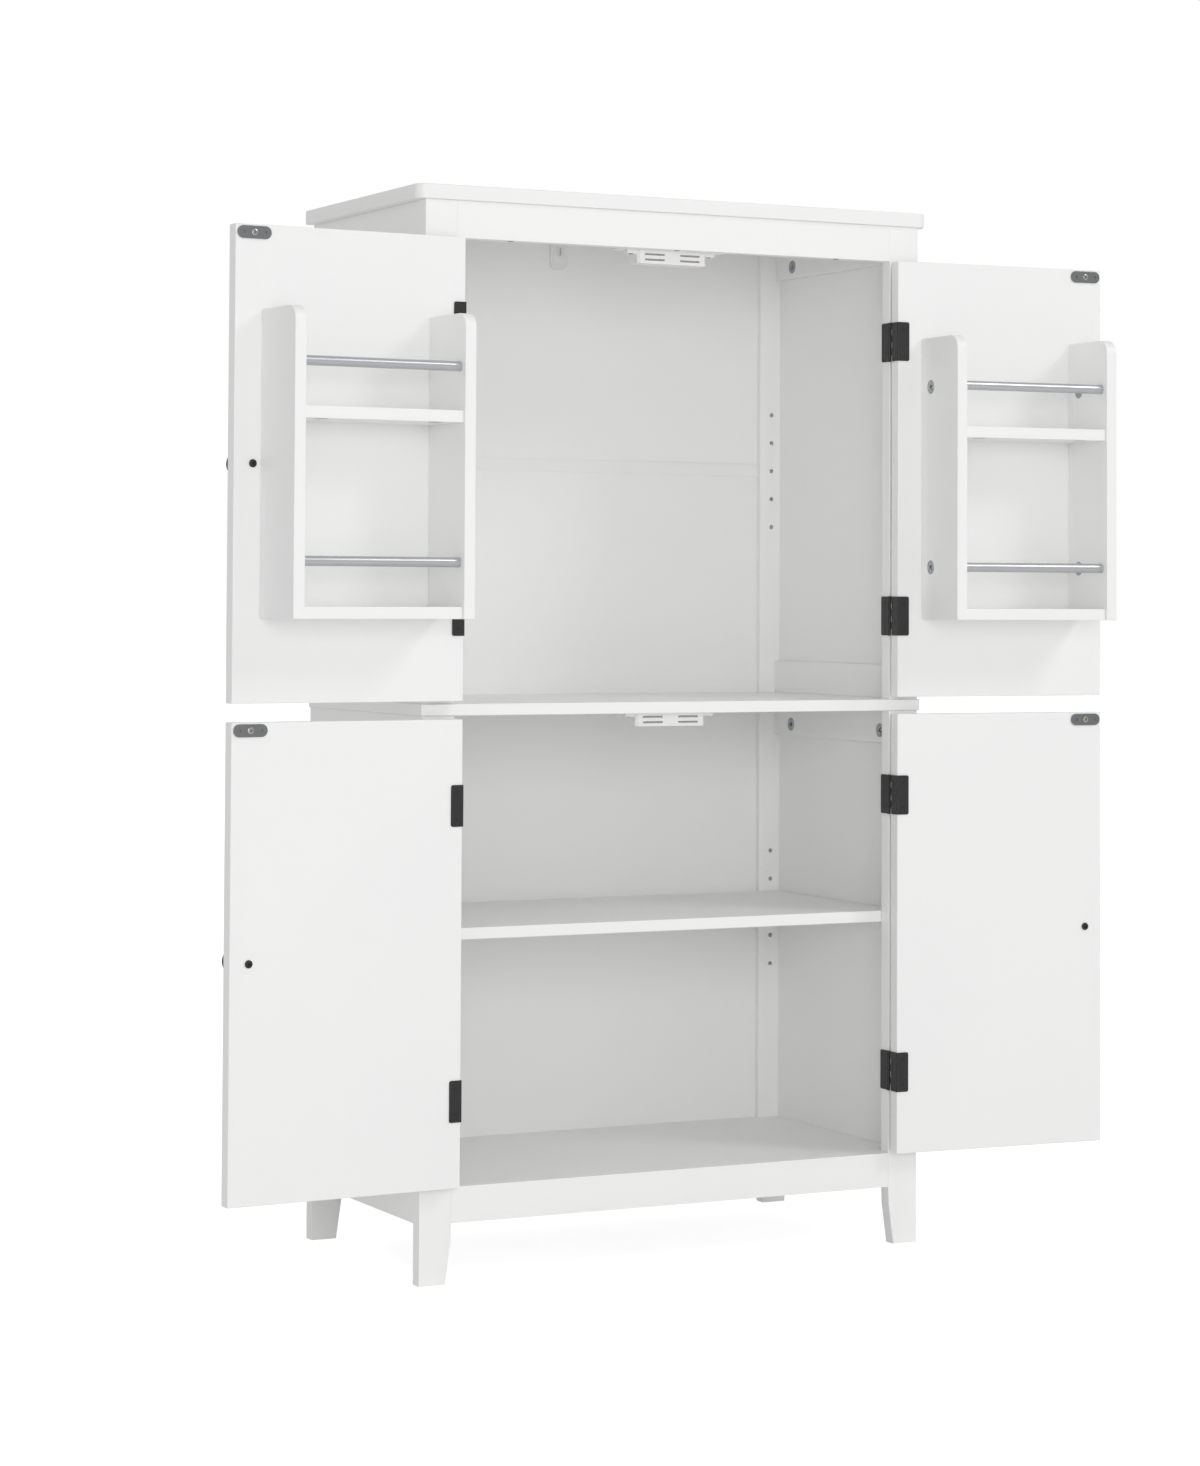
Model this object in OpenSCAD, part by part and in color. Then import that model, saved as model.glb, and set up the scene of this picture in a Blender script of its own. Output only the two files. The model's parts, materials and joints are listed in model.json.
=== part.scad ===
// Two-tier pantry cabinet: frame-and-panel sides, four inset doors on wrap-round butt hinges,
// a bottle rack on each upper door and one adjustable shelf in the lower tier.
// X runs across the front, Y from the front to the back and Z up. The origin is on the floor,
// in the middle of the rectangle of the four feet. All sizes are in millimetres.

/* [Cabinet] */
// Width across the two side frames
body_w = 580; // [480:5:800]
// Depth from the front faces of the stiles to the back faces
body_d = 296; // [240:2:400]
// Height from the floor to the top face
body_h = 1100; // [1000:5:1500]

/* [Panels] */
// Thickness of the top panel
top_t = 15; // [12:0.5:25]
// Overhang of the top panel at each side
top_side_over = 10; // [0:1:30]
// Overhang of the top panel at the front
top_front_over = 4; // [0:1:30]
// Radius of the top panel's front corners
top_corner_r = 11; // [2:1:30]
// Thickness of the panel between the tiers
middle_t = 12; // [12:0.5:20]
// Overhang of the middle panel at the sides and the front
middle_over = 2; // [0:0.5:6]
// Thickness of the floor panel
floor_t = 12; // [12:0.5:20]

/* [Side frames] */
// Width of a stile
stile_w = 35; // [32:1:60]
// Thickness of the stiles and rails
frame_t = 15; // [15:0.5:22]
// Height of a side rail
side_rail_h = 36; // [34:1:60]
// Thickness of a side panel
side_panel_t = 9; // [6:0.5:12]

/* [Front rails and feet] */
// Height of the rail under the top panel
top_rail_h = 38; // [34:1:60]
// Distance from the ends of the top rail to its outer screws
rail_screw_inset = 63; // [30:1:100]
// Height of the rail under the lower doors
bottom_rail_h = 36; // [34:1:60]
// Room between the floor and the bottom rail
leg_clear = 60.5; // [40:0.5:120]
// How much narrower a foot is on the floor than at the rail
foot_taper = 6.5; // [0:0.5:15]
// Height where the taper of a foot turns upright
foot_bend_h = 42; // [20:1:80]
// Height of the lower door opening
lower_opening_h = 469.5; // [400:0.5:520]

/* [Back] */
// Thickness of the back panels
back_t = 3; // [2.5:0.5:6]
// Distance from the back faces of the stiles to the back panels
back_inset = 5; // [3:0.5:6]
// Depth of the groove that holds a back panel
groove_d = 6; // [4:0.5:10]
// Height of the strip that joins two back panels
strip_h = 14; // [10:1:30]
// Thickness of the strip's flanges
strip_t = 1.2; // [0.8:0.1:2]

/* [Doors] */
// Thickness of a door
door_t = 15; // [15:0.5:20]
// Gap between the two doors of a pair
centre_gap = 2; // [1.5:0.5:4]
// Gap under an upper door
upper_gap_under = 3; // [1:0.5:5]
// Gap over an upper door
upper_gap_over = 1; // [1:0.5:5]
// Gap under a lower door
lower_gap_under = 1.5; // [1:0.5:5]
// Gap over a lower door
lower_gap_over = 3; // [1:0.5:5]
// Width of the plain border round the recess in a door's outer face
door_border = 50; // [45:1:80]
// Depth of that recess
door_recess = 4; // [2:0.5:5]
// Angle at which the doors stand open
open_angle = 177; // [0:1:180]

/* [Hinges] */
// Length of a hinge
hinge_l = 41.5; // [30:0.5:60]
// Distance from a door's end to the middle of its hinge
hinge_inset = 86; // [40:1:120]
// Thickness of a hinge leaf
leaf_t = 1.1; // [0.8:0.1:1.5]
// Width of the leaf that wraps onto a door's inner face
leaf_wrap = 13; // [10:0.5:20]
// Room between the two leaves of a closed hinge
leaf_play = 0.3; // [0.2:0.1:0.6]
// Radius of a hinge knuckle
knuckle_r = 1.8; // [1.6:0.1:2.2]
// Radius of a hinge pin
hinge_pin_r = 0.9; // [0.7:0.1:1]
// Distance from a hinge's middle to each of its screws
leaf_screw_z = 13.5; // [8:0.5:16]

/* [Knobs and catches] */
// Distance from a door's free edge to the knob's axis
knob_inset = 20; // [15:1:40]
// Radius of a knob's head
knob_r = 13; // [10:0.5:16]
// Distance from the door's face to the top of a knob
knob_l = 24; // [18:1:35]
// Length of a strike plate
strike_l = 36; // [30:1:50]
// Height of a strike plate
strike_h = 12.5; // [10:0.5:16]
// Thickness of a strike plate
strike_t = 1.5; // [1:0.1:2]
// Distance from a strike plate to the door's edges
strike_margin = 1.7; // [1:0.1:5]
// Room between a closed door's strike plate and the magnets
strike_play = 0.5; // [0.3:0.1:1]
// Length of a catch over its two ears
catch_l = 103; // [95:1:130]
// Length of a catch's housing
catch_body_l = 81; // [75:1:90]
// Height of a catch's housing
catch_h = 14; // [12:0.5:18]
// Depth of a catch's housing
catch_d = 20; // [16:1:30]
// Length of the block that the upper catch hangs from
catch_block_l = 120; // [105:1:160]

/* [Shelf] */
// Thickness of the shelf
shelf_t = 12; // [12:0.5:20]
// Room between the shelf and what is round it
shelf_play = 1; // [0.5:0.5:3]
// Pitch of the pin holes
pin_pitch = 32; // [20:1:40]
// Number of pin holes in a column
pin_holes = 5; // [3:2:7]
// Radius of a pin hole
pin_hole_r = 2.5; // [2:0.1:3]
// Distance from the outer side of a stile to its pin holes
pin_inset = 20; // [18:0.5:22]
// Height of the middle pin hole over the middle panel
upper_pin_rise = 252.5; // [180:0.5:280]
// Height of the middle pin hole over the floor panel
lower_pin_rise = 237.5; // [180:0.5:280]
// Which hole, counted up from the middle one, the shelf's pins are in
shelf_hole = 0; // [-1:1:1]
// Height of the shelf's underside over its pins
pin_rest = 6; // [5:0.5:8]

/* [Door racks] */
// Distance from a rack to the door's two upright edges
rack_side_margin = 28.25; // [26:0.25:50]
// Distance from a rack to the door's two ends
rack_end_margin = 82.5; // [60:0.5:120]
// Depth of a rack's side board
rack_d = 78; // [60:1:90]
// Thickness of a rack's boards
rack_t = 12; // [12:0.5:15]
// Radius of a side board's upper front corner
rack_corner_r = 15; // [5:1:30]
// Height from the bottom shelf to the upper one
rack_pitch = 192; // [150:1:220]
// Setback of the rack's shelves from the front of the side boards
rack_setback = 3; // [0:0.5:6]
// Radius of a rail rod
rod_r = 5; // [3:0.5:6]
// Height of a rod's axis over the shelf below it
rod_rise = 43.5; // [30:0.5:80]
// Distance from the front of the side boards to a rod's axis
rod_inset = 12; // [9:0.5:20]
// Depth of a rod's blind hole in a side board
rod_hole_d = 8; // [5:0.5:9]

/* [Fittings] */
// Radius of a cam lock
cam_r = 7.4; // [6:0.1:7.5]
// Thickness of a cam lock in a frame
cam_t = 11.5; // [10:0.5:12]
// Thickness of a cam lock in a rack
rack_cam_t = 9.5; // [8:0.5:10]
// Distance of a frame's cam locks from the middle of the depth
cam_y = 96; // [60:1:98]
// Distance from a joint to the cam lock that draws it together
cam_setback = 23; // [18:0.5:24]
// Distance from the door to a side board's cam locks
rack_cam_setback = 20.5; // [18:0.5:24]
// Distance from a rack shelf's front edge to its cam locks
shelf_cam_inset = 15; // [12:0.5:25]
// Radius of a cam bolt
bolt_r = 3; // [2.5:0.1:3]
// Depth of a cam bolt in the board that it's screwed into
bolt_grip = 8; // [6:0.5:9]
// Radius of a dowel
dowel_r = 4; // [3:0.5:4]
// Length of a dowel
dowel_l = 30; // [24:1:30]
// Distance from a rail's middle to each of its dowels
dowel_spread = 9; // [7:0.5:10]
// Play round a dowel, pin, bolt or screw in its hole
fit = 0.05; // [0.02:0.01:0.1]

/* [Wall bracket] */
// Width of the wall bracket
bracket_w = 21; // [15:0.5:30]
// Height of the wall bracket under the top panel
bracket_h = 35.5; // [30:0.5:60]
// Thickness of the wall bracket
bracket_t = 2; // [1.5:0.1:3]
// Half width of the wall bracket's slot
slot_r = 2.5; // [2:0.1:3.5]
// Length of the wall bracket's slot from end to end
slot_l = 10; // [8:0.5:16]

/* [Hidden] */
$fn = 64;
// A cut runs this far past the faces it opens
over = 1;

// Heights of the tiers
under_top = body_h - top_t;
floor_top = leg_clear + bottom_rail_h;
middle_z = floor_top + lower_opening_h;
middle_top = middle_z + middle_t;
upper_open_top = under_top - top_rail_h;

// Planes of the frame, named on the left and at the front
out_x = -body_w / 2;
edge_x = out_x + stile_w;
rail_x = out_x + frame_t;
panel_x = out_x + side_panel_t;
front_y = -body_d / 2;
stile_back_y = front_y + frame_t;
back_y = body_d / 2;
back_stile_y = back_y - frame_t;
back_rear_y = back_y - back_inset;
back_front_y = back_rear_y - back_t;
mid_x = out_x + frame_t / 2;
mid_y = front_y + frame_t / 2;

// Share of a foot's taper that is left at its bend, and the least height over which it runs out
taper_left = 1 / 12;
taper_run = 5;

// Joinery
dowel_hole_r = dowel_r + fit;
dowel_gap = 0.5;
dowel_wall = 1.5;
rail_dowel_grip = 10;
front_dowel_grip = 12;
post_dowel_grip = 8;
post_dowel_x = edge_x - front_dowel_grip - dowel_r - dowel_wall;
upper_post_grip = 11;
cam_hole_play = 0.1;
cam_pin_gap = 0.4;
pin_x = out_x + pin_inset;
pin_depth = 10;
pin_end_gap = 1;

// Screws. A slot is the length, width and depth of the cross in a head
screw_r = 1.4;
screw_head_r = 2.5;
screw_l = 12;
screw_slot = [2.8, 0.7, 0.7];
cam_slot = [8, 1.4, 1.6];

// Doors, in a frame of their own: the hinge axis is at X 0 and Y 0, the free edge is at high X,
// and the inner face is at high Y while the door is closed
hinge_gap = 2 * leaf_t + leaf_play;
axis_out = knuckle_r;
axis_x = edge_x + hinge_gap / 2;
axis_y = front_y - axis_out;
knuckles = 6;
knuckle_l = hinge_l / knuckles;
knuckle_gap = 0.15;
knuckle_clear = 0.9;
leaf_corner_r = 2;
frame_leaf_w = axis_out + frame_t;
door_x0 = hinge_gap / 2;
door_x1 = -axis_x - centre_gap / 2;
face_out = axis_out;
face_in = axis_out + door_t;
upper_door_z = middle_top + upper_gap_under;
upper_door_h = upper_open_top - upper_gap_over - upper_door_z;
lower_door_z = floor_top + lower_gap_under;
lower_door_h = middle_z - lower_gap_over - lower_door_z;
knob_x = door_x1 - knob_inset;
knob_bolt_r = 2;
knob_bolt_grip = 10;
knob_bolt_head_r = 4;
knob_bolt_head_t = 2;
knob_bolt_end_gap = 1;
knob_bolt_slot = [4, 1, 1.2];
strike_x = door_x1 - strike_margin - strike_l / 2;
strike_screw_head_r = 3;
strike_screw_r = 1.6;
strike_screw_slot = [3.4, 0.8, 0.9];
// The ends of a strike plate are round, a hair under half its height
strike_corner_r = strike_h / 2 - 0.01;
dimple_x = 11.5;
dimple_r = 1.5;
dimple_d = 0.7;

// Catches
catch_y = front_y + door_t + strike_t + strike_play;
pole_proud = 0.4;
pocket_play = 0.2;
catch_face_y = catch_y + pole_proud;
catch_ear_h = 4;
catch_ear_d = 12;
magnet_x = centre_gap / 2 + strike_margin + strike_l / 2;
magnet_w = 22.5;
magnet_h = 4.4;
magnet_d = 11;
magnet_wall = 1;
magnet_recess = pole_proud + magnet_wall + pocket_play;
pole_t = 1.2;
catch_chamfer = 2.5;
ear_screw_x = (catch_l + catch_body_l) / 4;
ear_screw_l = catch_ear_h + 8;
ear_screw_head_l = 1.2;
rail_screw_x = [-1, 0, 1] * (body_w / 2 - stile_w - rail_screw_inset);
rail_screw_r = 1.75;
rail_screw_head_r = 3.5;
rail_screw_head_l = 2;
rail_screw_l = top_rail_h + 9;
rail_screw_slot = [3.6, 0.9, 1.2];

// Racks
rack_x0 = door_x0 + rack_side_margin;
rack_x1 = door_x1 - rack_side_margin;
rack_z0 = upper_door_z + rack_end_margin;
rack_z1 = upper_door_z + upper_door_h - rack_end_margin;
rack_front = face_in + rack_d;
rack_shelf_z = [rack_z0, rack_z0 + rack_pitch];
rod_z = [for (z = rack_shelf_z) z + rack_t + rod_rise];
rod_y = rack_front - rod_inset;
rod_end_gap = 0.5;
rack_cam_y = face_in + rack_cam_setback;
shelf_cam_y = rack_front - rack_setback - shelf_cam_inset;
shelf_cam_reach = 24;

// Bracket
bracket_y = back_front_y - bracket_t;
bracket_corner_r = 8;
bracket_foot = 18;
bracket_rib_w = 15;
bracket_rib_t = 0.8;
bracket_screw_l = bracket_t + 10;
slot_drop = 15;
slot_z = under_top - slot_drop;

left = false;
right = true;
front = false;
back = true;

// ---- helpers ----

// A box between two opposite corners
module box(from, to) {
    translate(from) cube(to - from);
}

// What is drawn on the left moves to the right
module on_side(side) {
    if (side == right) mirror([1, 0, 0]) children();
    else children();
}

// What is drawn at the front moves to the back
module on_end(end) {
    if (end == back) mirror([0, 1, 0]) children();
    else children();
}

// A rod or a bore along X, from x0 to x1
module x_rod(x0, x1, y, z, r) {
    translate([x0, y, z]) rotate([0, 90, 0]) cylinder(h = x1 - x0, r = r);
}

// A rod or a bore along Y, from y0 to y1
module y_rod(x, y0, y1, z, r) {
    translate([x, y0, z]) rotate([-90, 0, 0]) cylinder(h = y1 - y0, r = r);
}

// A rod or a bore along Z, from z0 to z1
module z_rod(x, y, z0, z1, r) {
    translate([x, y, z0]) cylinder(h = z1 - z0, r = r);
}

// A countersunk screw that points up Z, with its head's flat face at Z 0
module screw(l, shank_r, head_r, head_l, grow = 0) {
    cylinder(h = head_l, r1 = head_r + grow, r2 = shank_r + grow);
    cylinder(h = l + grow, r = shank_r + grow);
}

// The cross slot of a screw or a cam lock, cut down from Z 0
module cross_slot(size) {
    for (a = [0, 90]) rotate([0, 0, a])
        translate([-size.x / 2, -size.y / 2, -size.z]) cube(size + [0, 0, over]);
}

// A flat plate in X and Z with round corners, from Y 0 to t
module plate(w, h, t, r) {
    rotate([90, 0, 0]) translate([0, 0, -t]) linear_extrude(t) {
        square([w - 2 * r, h], center = true);
        square([w, h - 2 * r], center = true);
        for (x = [-1, 1], y = [-1, 1]) translate([x * (w / 2 - r), y * (h / 2 - r)]) circle(r);
    }
}

// A cam lock with its slotted face at Z 0 and its body below; the bolt comes in along +X
module cam(t, depth) {
    difference() {
        translate([0, 0, -t]) cylinder(h = t, r = cam_r);
        cross_slot(cam_slot);
        translate([0, 0, -depth]) rotate([0, 90, 0]) cylinder(h = cam_r + over, r = bolt_r + cam_pin_gap);
        translate([0, 0, -depth]) sphere(bolt_r + cam_pin_gap);
    }
}

// The pocket and the bolt hole of a cam lock, placed as the lock is
module cam_cut(t, depth, reach) {
    translate([0, 0, -t - cam_hole_play]) cylinder(h = t + cam_hole_play + over, r = cam_r + cam_hole_play);
    translate([0, 0, -depth]) rotate([0, 90, 0]) cylinder(h = reach + over, r = bolt_r + fit);
}

// The bolt of a cam lock, from the lock's middle to the far end of its grip
module cam_bolt(depth, reach) {
    translate([0, 0, -depth]) rotate([0, 90, 0]) cylinder(h = reach + bolt_grip, r = bolt_r);
}

// ---- places that several pieces share ----

// Middle heights of the side rails
rail_mid = [
    under_top - side_rail_h / 2,
    middle_top + side_rail_h / 2,
    middle_z - side_rail_h / 2,
    floor_top - side_rail_h / 2
];

// Dowels between the side rails and the stile at the left front
module rail_dowels(r, gap) {
    for (z = rail_mid, s = [-1, 1])
        y_rod(mid_x, stile_back_y - rail_dowel_grip + gap, stile_back_y + dowel_l - rail_dowel_grip - gap,
              z + s * dowel_spread, r);
}

// Dowels between the front rails and the stile at the left front
module front_dowels(r, gap) {
    for (z = [under_top - top_rail_h / 2, floor_top - bottom_rail_h / 2], s = [-1, 1])
        x_rod(edge_x - front_dowel_grip + gap, edge_x + dowel_l - front_dowel_grip - gap,
              mid_y, z + s * dowel_spread, r);
}

// Upright dowels at the left front: through the middle panel, and up into the top panel
module post_dowels(r, gap) {
    z_rod(post_dowel_x, mid_y, middle_z - post_dowel_grip + gap, middle_top + post_dowel_grip - gap, r);
    z_rod(post_dowel_x, mid_y, under_top - upper_post_grip + gap, under_top + post_dowel_grip - gap, r);
}

// Dowels between the left side rail and the floor panel
module floor_dowels(r, gap) {
    for (s = [-1, 1])
        x_rod(rail_x - rail_dowel_grip + gap, rail_x + dowel_l - rail_dowel_grip - gap,
              s * cam_y, floor_top - floor_t / 2, r);
}

// Column of pin holes in the stile at the left front
module pin_column(z) {
    n = (pin_holes - 1) / 2;
    for (i = [-n : n])
        y_rod(pin_x, stile_back_y - pin_depth, stile_back_y + over, z + i * pin_pitch, pin_hole_r);
}

// Moves a cam lock's parts to the inner face of the left side rails, bolt upwards
module at_frame_cams() {
    for (z = [under_top, middle_z] - [cam_setback, cam_setback], s = [-1, 1])
        translate([rail_x, s * cam_y, z]) rotate([0, 90, 0]) rotate([0, 0, 180]) children();
}

// Moves a screw to the frame leaf of each left hinge
module at_frame_leaf_screws() {
    for (z = all_hinge_heights, s = [-1, 1])
        translate([edge_x + leaf_t, front_y + frame_t / 2, z + s * leaf_screw_z])
            rotate([0, -90, 0]) children();
}

// Moves a screw to the rail under the top panel
module at_rail_screws() {
    for (x = rail_screw_x) translate([x, mid_y, upper_open_top]) children();
}

// Moves a screw to the ears of a catch whose top is at z
module at_ear_screws(z) {
    for (s = [-1, 1])
        translate([s * ear_screw_x, catch_face_y + catch_ear_d / 2, z - catch_ear_h]) children();
}

// Moves a screw to the wall bracket
module at_bracket_screw() {
    translate([0, bracket_y - bracket_foot / 2, under_top - bracket_t]) children();
}

// Heights of a door's hinges
function hinge_heights(z, h) = [z + hinge_inset, z + h - hinge_inset];
all_hinge_heights = concat(hinge_heights(upper_door_z, upper_door_h),
                           hinge_heights(lower_door_z, lower_door_h));

// ---- carcass ----

module top_panel() {
    w = body_w / 2 + top_side_over;
    y0 = front_y - top_front_over;
    color("white") difference() {
        translate([0, 0, under_top]) linear_extrude(top_t) {
            translate([-w, y0 + top_corner_r]) square([2 * w, back_y - y0 - top_corner_r]);
            translate([-w + top_corner_r, y0]) square([2 * (w - top_corner_r), 2 * top_corner_r]);
            for (s = [-1, 1]) translate([s * (w - top_corner_r), y0 + top_corner_r]) circle(top_corner_r);
        }
        for (side = [left, right]) on_side(side) {
            for (end = [front, back]) on_end(end) post_dowels(dowel_hole_r, 0);
            at_frame_cams() cam_cut(cam_t, frame_t / 2, cam_setback + bolt_grip);
        }
        at_rail_screws() screw(rail_screw_l, rail_screw_r, rail_screw_head_r, rail_screw_head_l, fit);
        at_bracket_screw() screw(bracket_screw_l, screw_r, screw_head_r, bracket_t, fit);
    }
}

module top_front_rail() {
    color("white") difference() {
        box([edge_x, front_y, upper_open_top], [-edge_x, stile_back_y, under_top]);
        for (side = [left, right]) on_side(side) front_dowels(dowel_hole_r, 0);
        at_rail_screws() screw(rail_screw_l, rail_screw_r, rail_screw_head_r, rail_screw_head_l, fit);
    }
}

module catch_block() {
    color("white") difference() {
        box([-catch_block_l / 2, stile_back_y, upper_open_top],
            [catch_block_l / 2, catch_face_y + catch_d, under_top]);
        at_ear_screws(upper_open_top) screw(ear_screw_l, screw_r, screw_head_r, ear_screw_head_l, fit);
    }
}

module middle_panel() {
    w = body_w / 2 + middle_over;
    color("white") difference() {
        box([-w, front_y - middle_over, middle_z], [w, back_y, middle_top]);
        for (side = [left, right]) on_side(side) {
            for (end = [front, back]) on_end(end) post_dowels(dowel_hole_r, 0);
            at_frame_cams() cam_cut(cam_t, frame_t / 2, cam_setback + bolt_grip);
        }
        at_ear_screws(middle_z) screw(ear_screw_l, screw_r, screw_head_r, ear_screw_head_l, fit);
    }
}

module floor_panel() {
    z = floor_top - floor_t;
    color("white") difference() {
        union() {
            box([rail_x, stile_back_y, z], [-rail_x, back_stile_y, floor_top]);
            box([edge_x, back_stile_y - over, z], [-edge_x, back_front_y, floor_top]);
        }
        for (side = [left, right]) on_side(side) floor_dowels(dowel_hole_r, 0);
    }
}

module bottom_front_rail() {
    color("white") difference() {
        box([edge_x, front_y, leg_clear], [-edge_x, stile_back_y, floor_top]);
        for (side = [left, right]) on_side(side) front_dowels(dowel_hole_r, 0);
    }
}

// Heights of the joints between the back panels
strip_z = [(middle_top + under_top) / 2, (floor_top + middle_z) / 2];

// Half the thickness of the strip's web, which lies between two back panels
web = strip_t / 2;

module back_panels() {
    w = -edge_x + groove_d - dowel_gap;
    color("white") {
        box([-w, back_front_y, middle_top], [w, back_rear_y, strip_z[0] - web]);
        box([-w, back_front_y, strip_z[0] + web], [w, back_rear_y, under_top]);
        box([-w, back_front_y, floor_top - floor_t], [w, back_rear_y, strip_z[1] - web]);
        box([-w, back_front_y, strip_z[1] + web], [w, back_rear_y, middle_z]);
    }
}

module back_joint_strips() {
    color("white") for (z = strip_z) {
        box([edge_x, back_front_y - strip_t, z - strip_h / 2], [-edge_x, back_front_y, z + strip_h / 2]);
        box([edge_x, back_front_y - web, z - web], [-edge_x, back_rear_y + web, z + web]);
        box([edge_x, back_rear_y, z - strip_h / 2], [-edge_x, back_rear_y + strip_t, z + strip_h / 2]);
    }
}

// Holes and grooves that every stile has, drawn at the left front
module stile_cuts(end) {
    rail_dowels(dowel_hole_r, 0);
    post_dowels(dowel_hole_r, 0);
    pin_column(middle_top + upper_pin_rise);
    pin_column(floor_top + lower_pin_rise);
    if (end == front) {
        front_dowels(dowel_hole_r, 0);
        at_frame_leaf_screws() screw(screw_l, screw_r, screw_head_r, leaf_t, fit);
    }
    if (end == back)
        box([edge_x - groove_d, -back_rear_y, floor_top - floor_t],
            [edge_x + over, -back_front_y, under_top + over]);
}

module upper_stile(side, end) {
    color("white") on_side(side) on_end(end) difference() {
        box([out_x, front_y, middle_top], [edge_x, stile_back_y, under_top]);
        stile_cuts(end);
    }
}

module lower_leg(side, end) {
    color("white") on_side(side) on_end(end) difference() {
        translate([out_x, stile_back_y, 0]) rotate([90, 0, 0]) linear_extrude(frame_t)
            polygon([
                [0, 0], [stile_w - foot_taper, 0], [stile_w - foot_taper * taper_left, foot_bend_h],
                [stile_w, max(leg_clear, foot_bend_h + taper_run)], [stile_w, middle_z], [0, middle_z]
            ]);
        stile_cuts(end);
    }
}

module side_rails(side) {
    color("white") on_side(side) difference() {
        for (z = rail_mid)
            box([out_x, stile_back_y, z - side_rail_h / 2], [rail_x, back_stile_y, z + side_rail_h / 2]);
        for (end = [front, back]) on_end(end) rail_dowels(dowel_hole_r, 0);
        floor_dowels(dowel_hole_r, 0);
        at_frame_cams() cam_cut(cam_t, frame_t / 2, cam_setback + bolt_grip);
    }
}

module upper_side_panel(side) {
    color("white") on_side(side)
        box([out_x, stile_back_y, middle_top + side_rail_h],
            [panel_x, back_stile_y, under_top - side_rail_h]);
}

module lower_side_panel(side) {
    color("white") on_side(side)
        box([out_x, stile_back_y, floor_top], [panel_x, back_stile_y, middle_z - side_rail_h]);
}

// Height of the shelf's pins
shelf_pin_z = floor_top + lower_pin_rise + shelf_hole * pin_pitch;

module shelf() {
    z = shelf_pin_z + pin_rest;
    color("white") box([panel_x + shelf_play, stile_back_y + shelf_play, z],
                       [-panel_x - shelf_play, back_stile_y - shelf_play, z + shelf_t]);
}

module shelf_pins() {
    flange_r = 4.5;
    flange_t = 1.5;
    tab_l = 12;
    tab_w = 10;
    tab_t = 2.2;
    web_l = 10;
    color("silver") for (side = [left, right], end = [front, back]) on_side(side) on_end(end) {
        y_rod(pin_x, stile_back_y - pin_depth + pin_end_gap, stile_back_y + flange_t,
              shelf_pin_z, pin_hole_r - fit);
        y_rod(pin_x, stile_back_y, stile_back_y + flange_t, shelf_pin_z, flange_r);
        box([pin_x - flange_t / 2, stile_back_y, shelf_pin_z],
            [pin_x + flange_t / 2, stile_back_y + web_l, shelf_pin_z + pin_rest - tab_t / 2]);
        box([pin_x - tab_w / 2, stile_back_y, shelf_pin_z + pin_rest - tab_t],
            [pin_x + tab_w / 2, stile_back_y + tab_l, shelf_pin_z + pin_rest]);
    }
}

module wooden_dowels() {
    color("burlywood") for (side = [left, right]) on_side(side) {
        for (end = [front, back]) on_end(end) {
            rail_dowels(dowel_r, dowel_gap);
            post_dowels(dowel_r, dowel_gap);
        }
        front_dowels(dowel_r, dowel_gap);
        floor_dowels(dowel_r, dowel_gap);
    }
}

module frame_cam_locks() {
    color("silver") for (side = [left, right]) on_side(side) at_frame_cams() {
        cam(cam_t, frame_t / 2);
        cam_bolt(frame_t / 2, cam_setback);
    }
}

module frame_screws() {
    color("dimgray") {
        for (side = [left, right]) on_side(side) at_frame_leaf_screws() slotted_screw(screw_l, leaf_t);
        at_ear_screws(upper_open_top) slotted_screw(ear_screw_l, ear_screw_head_l);
        at_ear_screws(middle_z) slotted_screw(ear_screw_l, ear_screw_head_l);
        at_bracket_screw() slotted_screw(bracket_screw_l, bracket_t);
        at_rail_screws() difference() {
            screw(rail_screw_l, rail_screw_r, rail_screw_head_r, rail_screw_head_l);
            mirror([0, 0, 1]) cross_slot(rail_screw_slot);
        }
    }
}

// A small countersunk screw with a cross slot in its head
module slotted_screw(l, head_l) {
    difference() {
        screw(l, screw_r, screw_head_r, head_l);
        mirror([0, 0, 1]) cross_slot(screw_slot);
    }
}

// ---- hinges ----

// The cuts that leave a leaf its own knuckles: every second one, from the first one on
module knuckle_room(z, first) {
    for (i = [first : 2 : knuckles - 1])
        z_rod(0, 0, z - hinge_l / 2 + i * knuckle_l - knuckle_gap / 2,
              z - hinge_l / 2 + (i + 1) * knuckle_l + knuckle_gap / 2, knuckle_r + knuckle_clear);
}

// A leaf's own knuckles
module knuckle_row(z, first) {
    for (i = [first : 2 : knuckles - 1])
        z_rod(0, 0, z - hinge_l / 2 + i * knuckle_l + knuckle_gap / 2,
              z - hinge_l / 2 + (i + 1) * knuckle_l - knuckle_gap / 2, knuckle_r);
}

// The leaf on the stile, in a left door's frame
module frame_leaf(z) {
    difference() {
        union() {
            difference() {
                translate([-door_x0, frame_leaf_w / 2, z]) rotate([0, 0, -90])
                    plate(frame_leaf_w, hinge_l, leaf_t, leaf_corner_r);
                knuckle_room(z, 1);
            }
            difference() {
                box([-door_x0, -axis_out / 2, z - hinge_l / 2],
                    [-door_x0 + leaf_t, leaf_corner_r * 2, z + hinge_l / 2]);
                knuckle_room(z, 1);
            }
            knuckle_row(z, 0);
        }
        z_rod(0, 0, z - hinge_l / 2 - over, z + hinge_l / 2 + over, hinge_pin_r + fit);
    }
}

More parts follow.
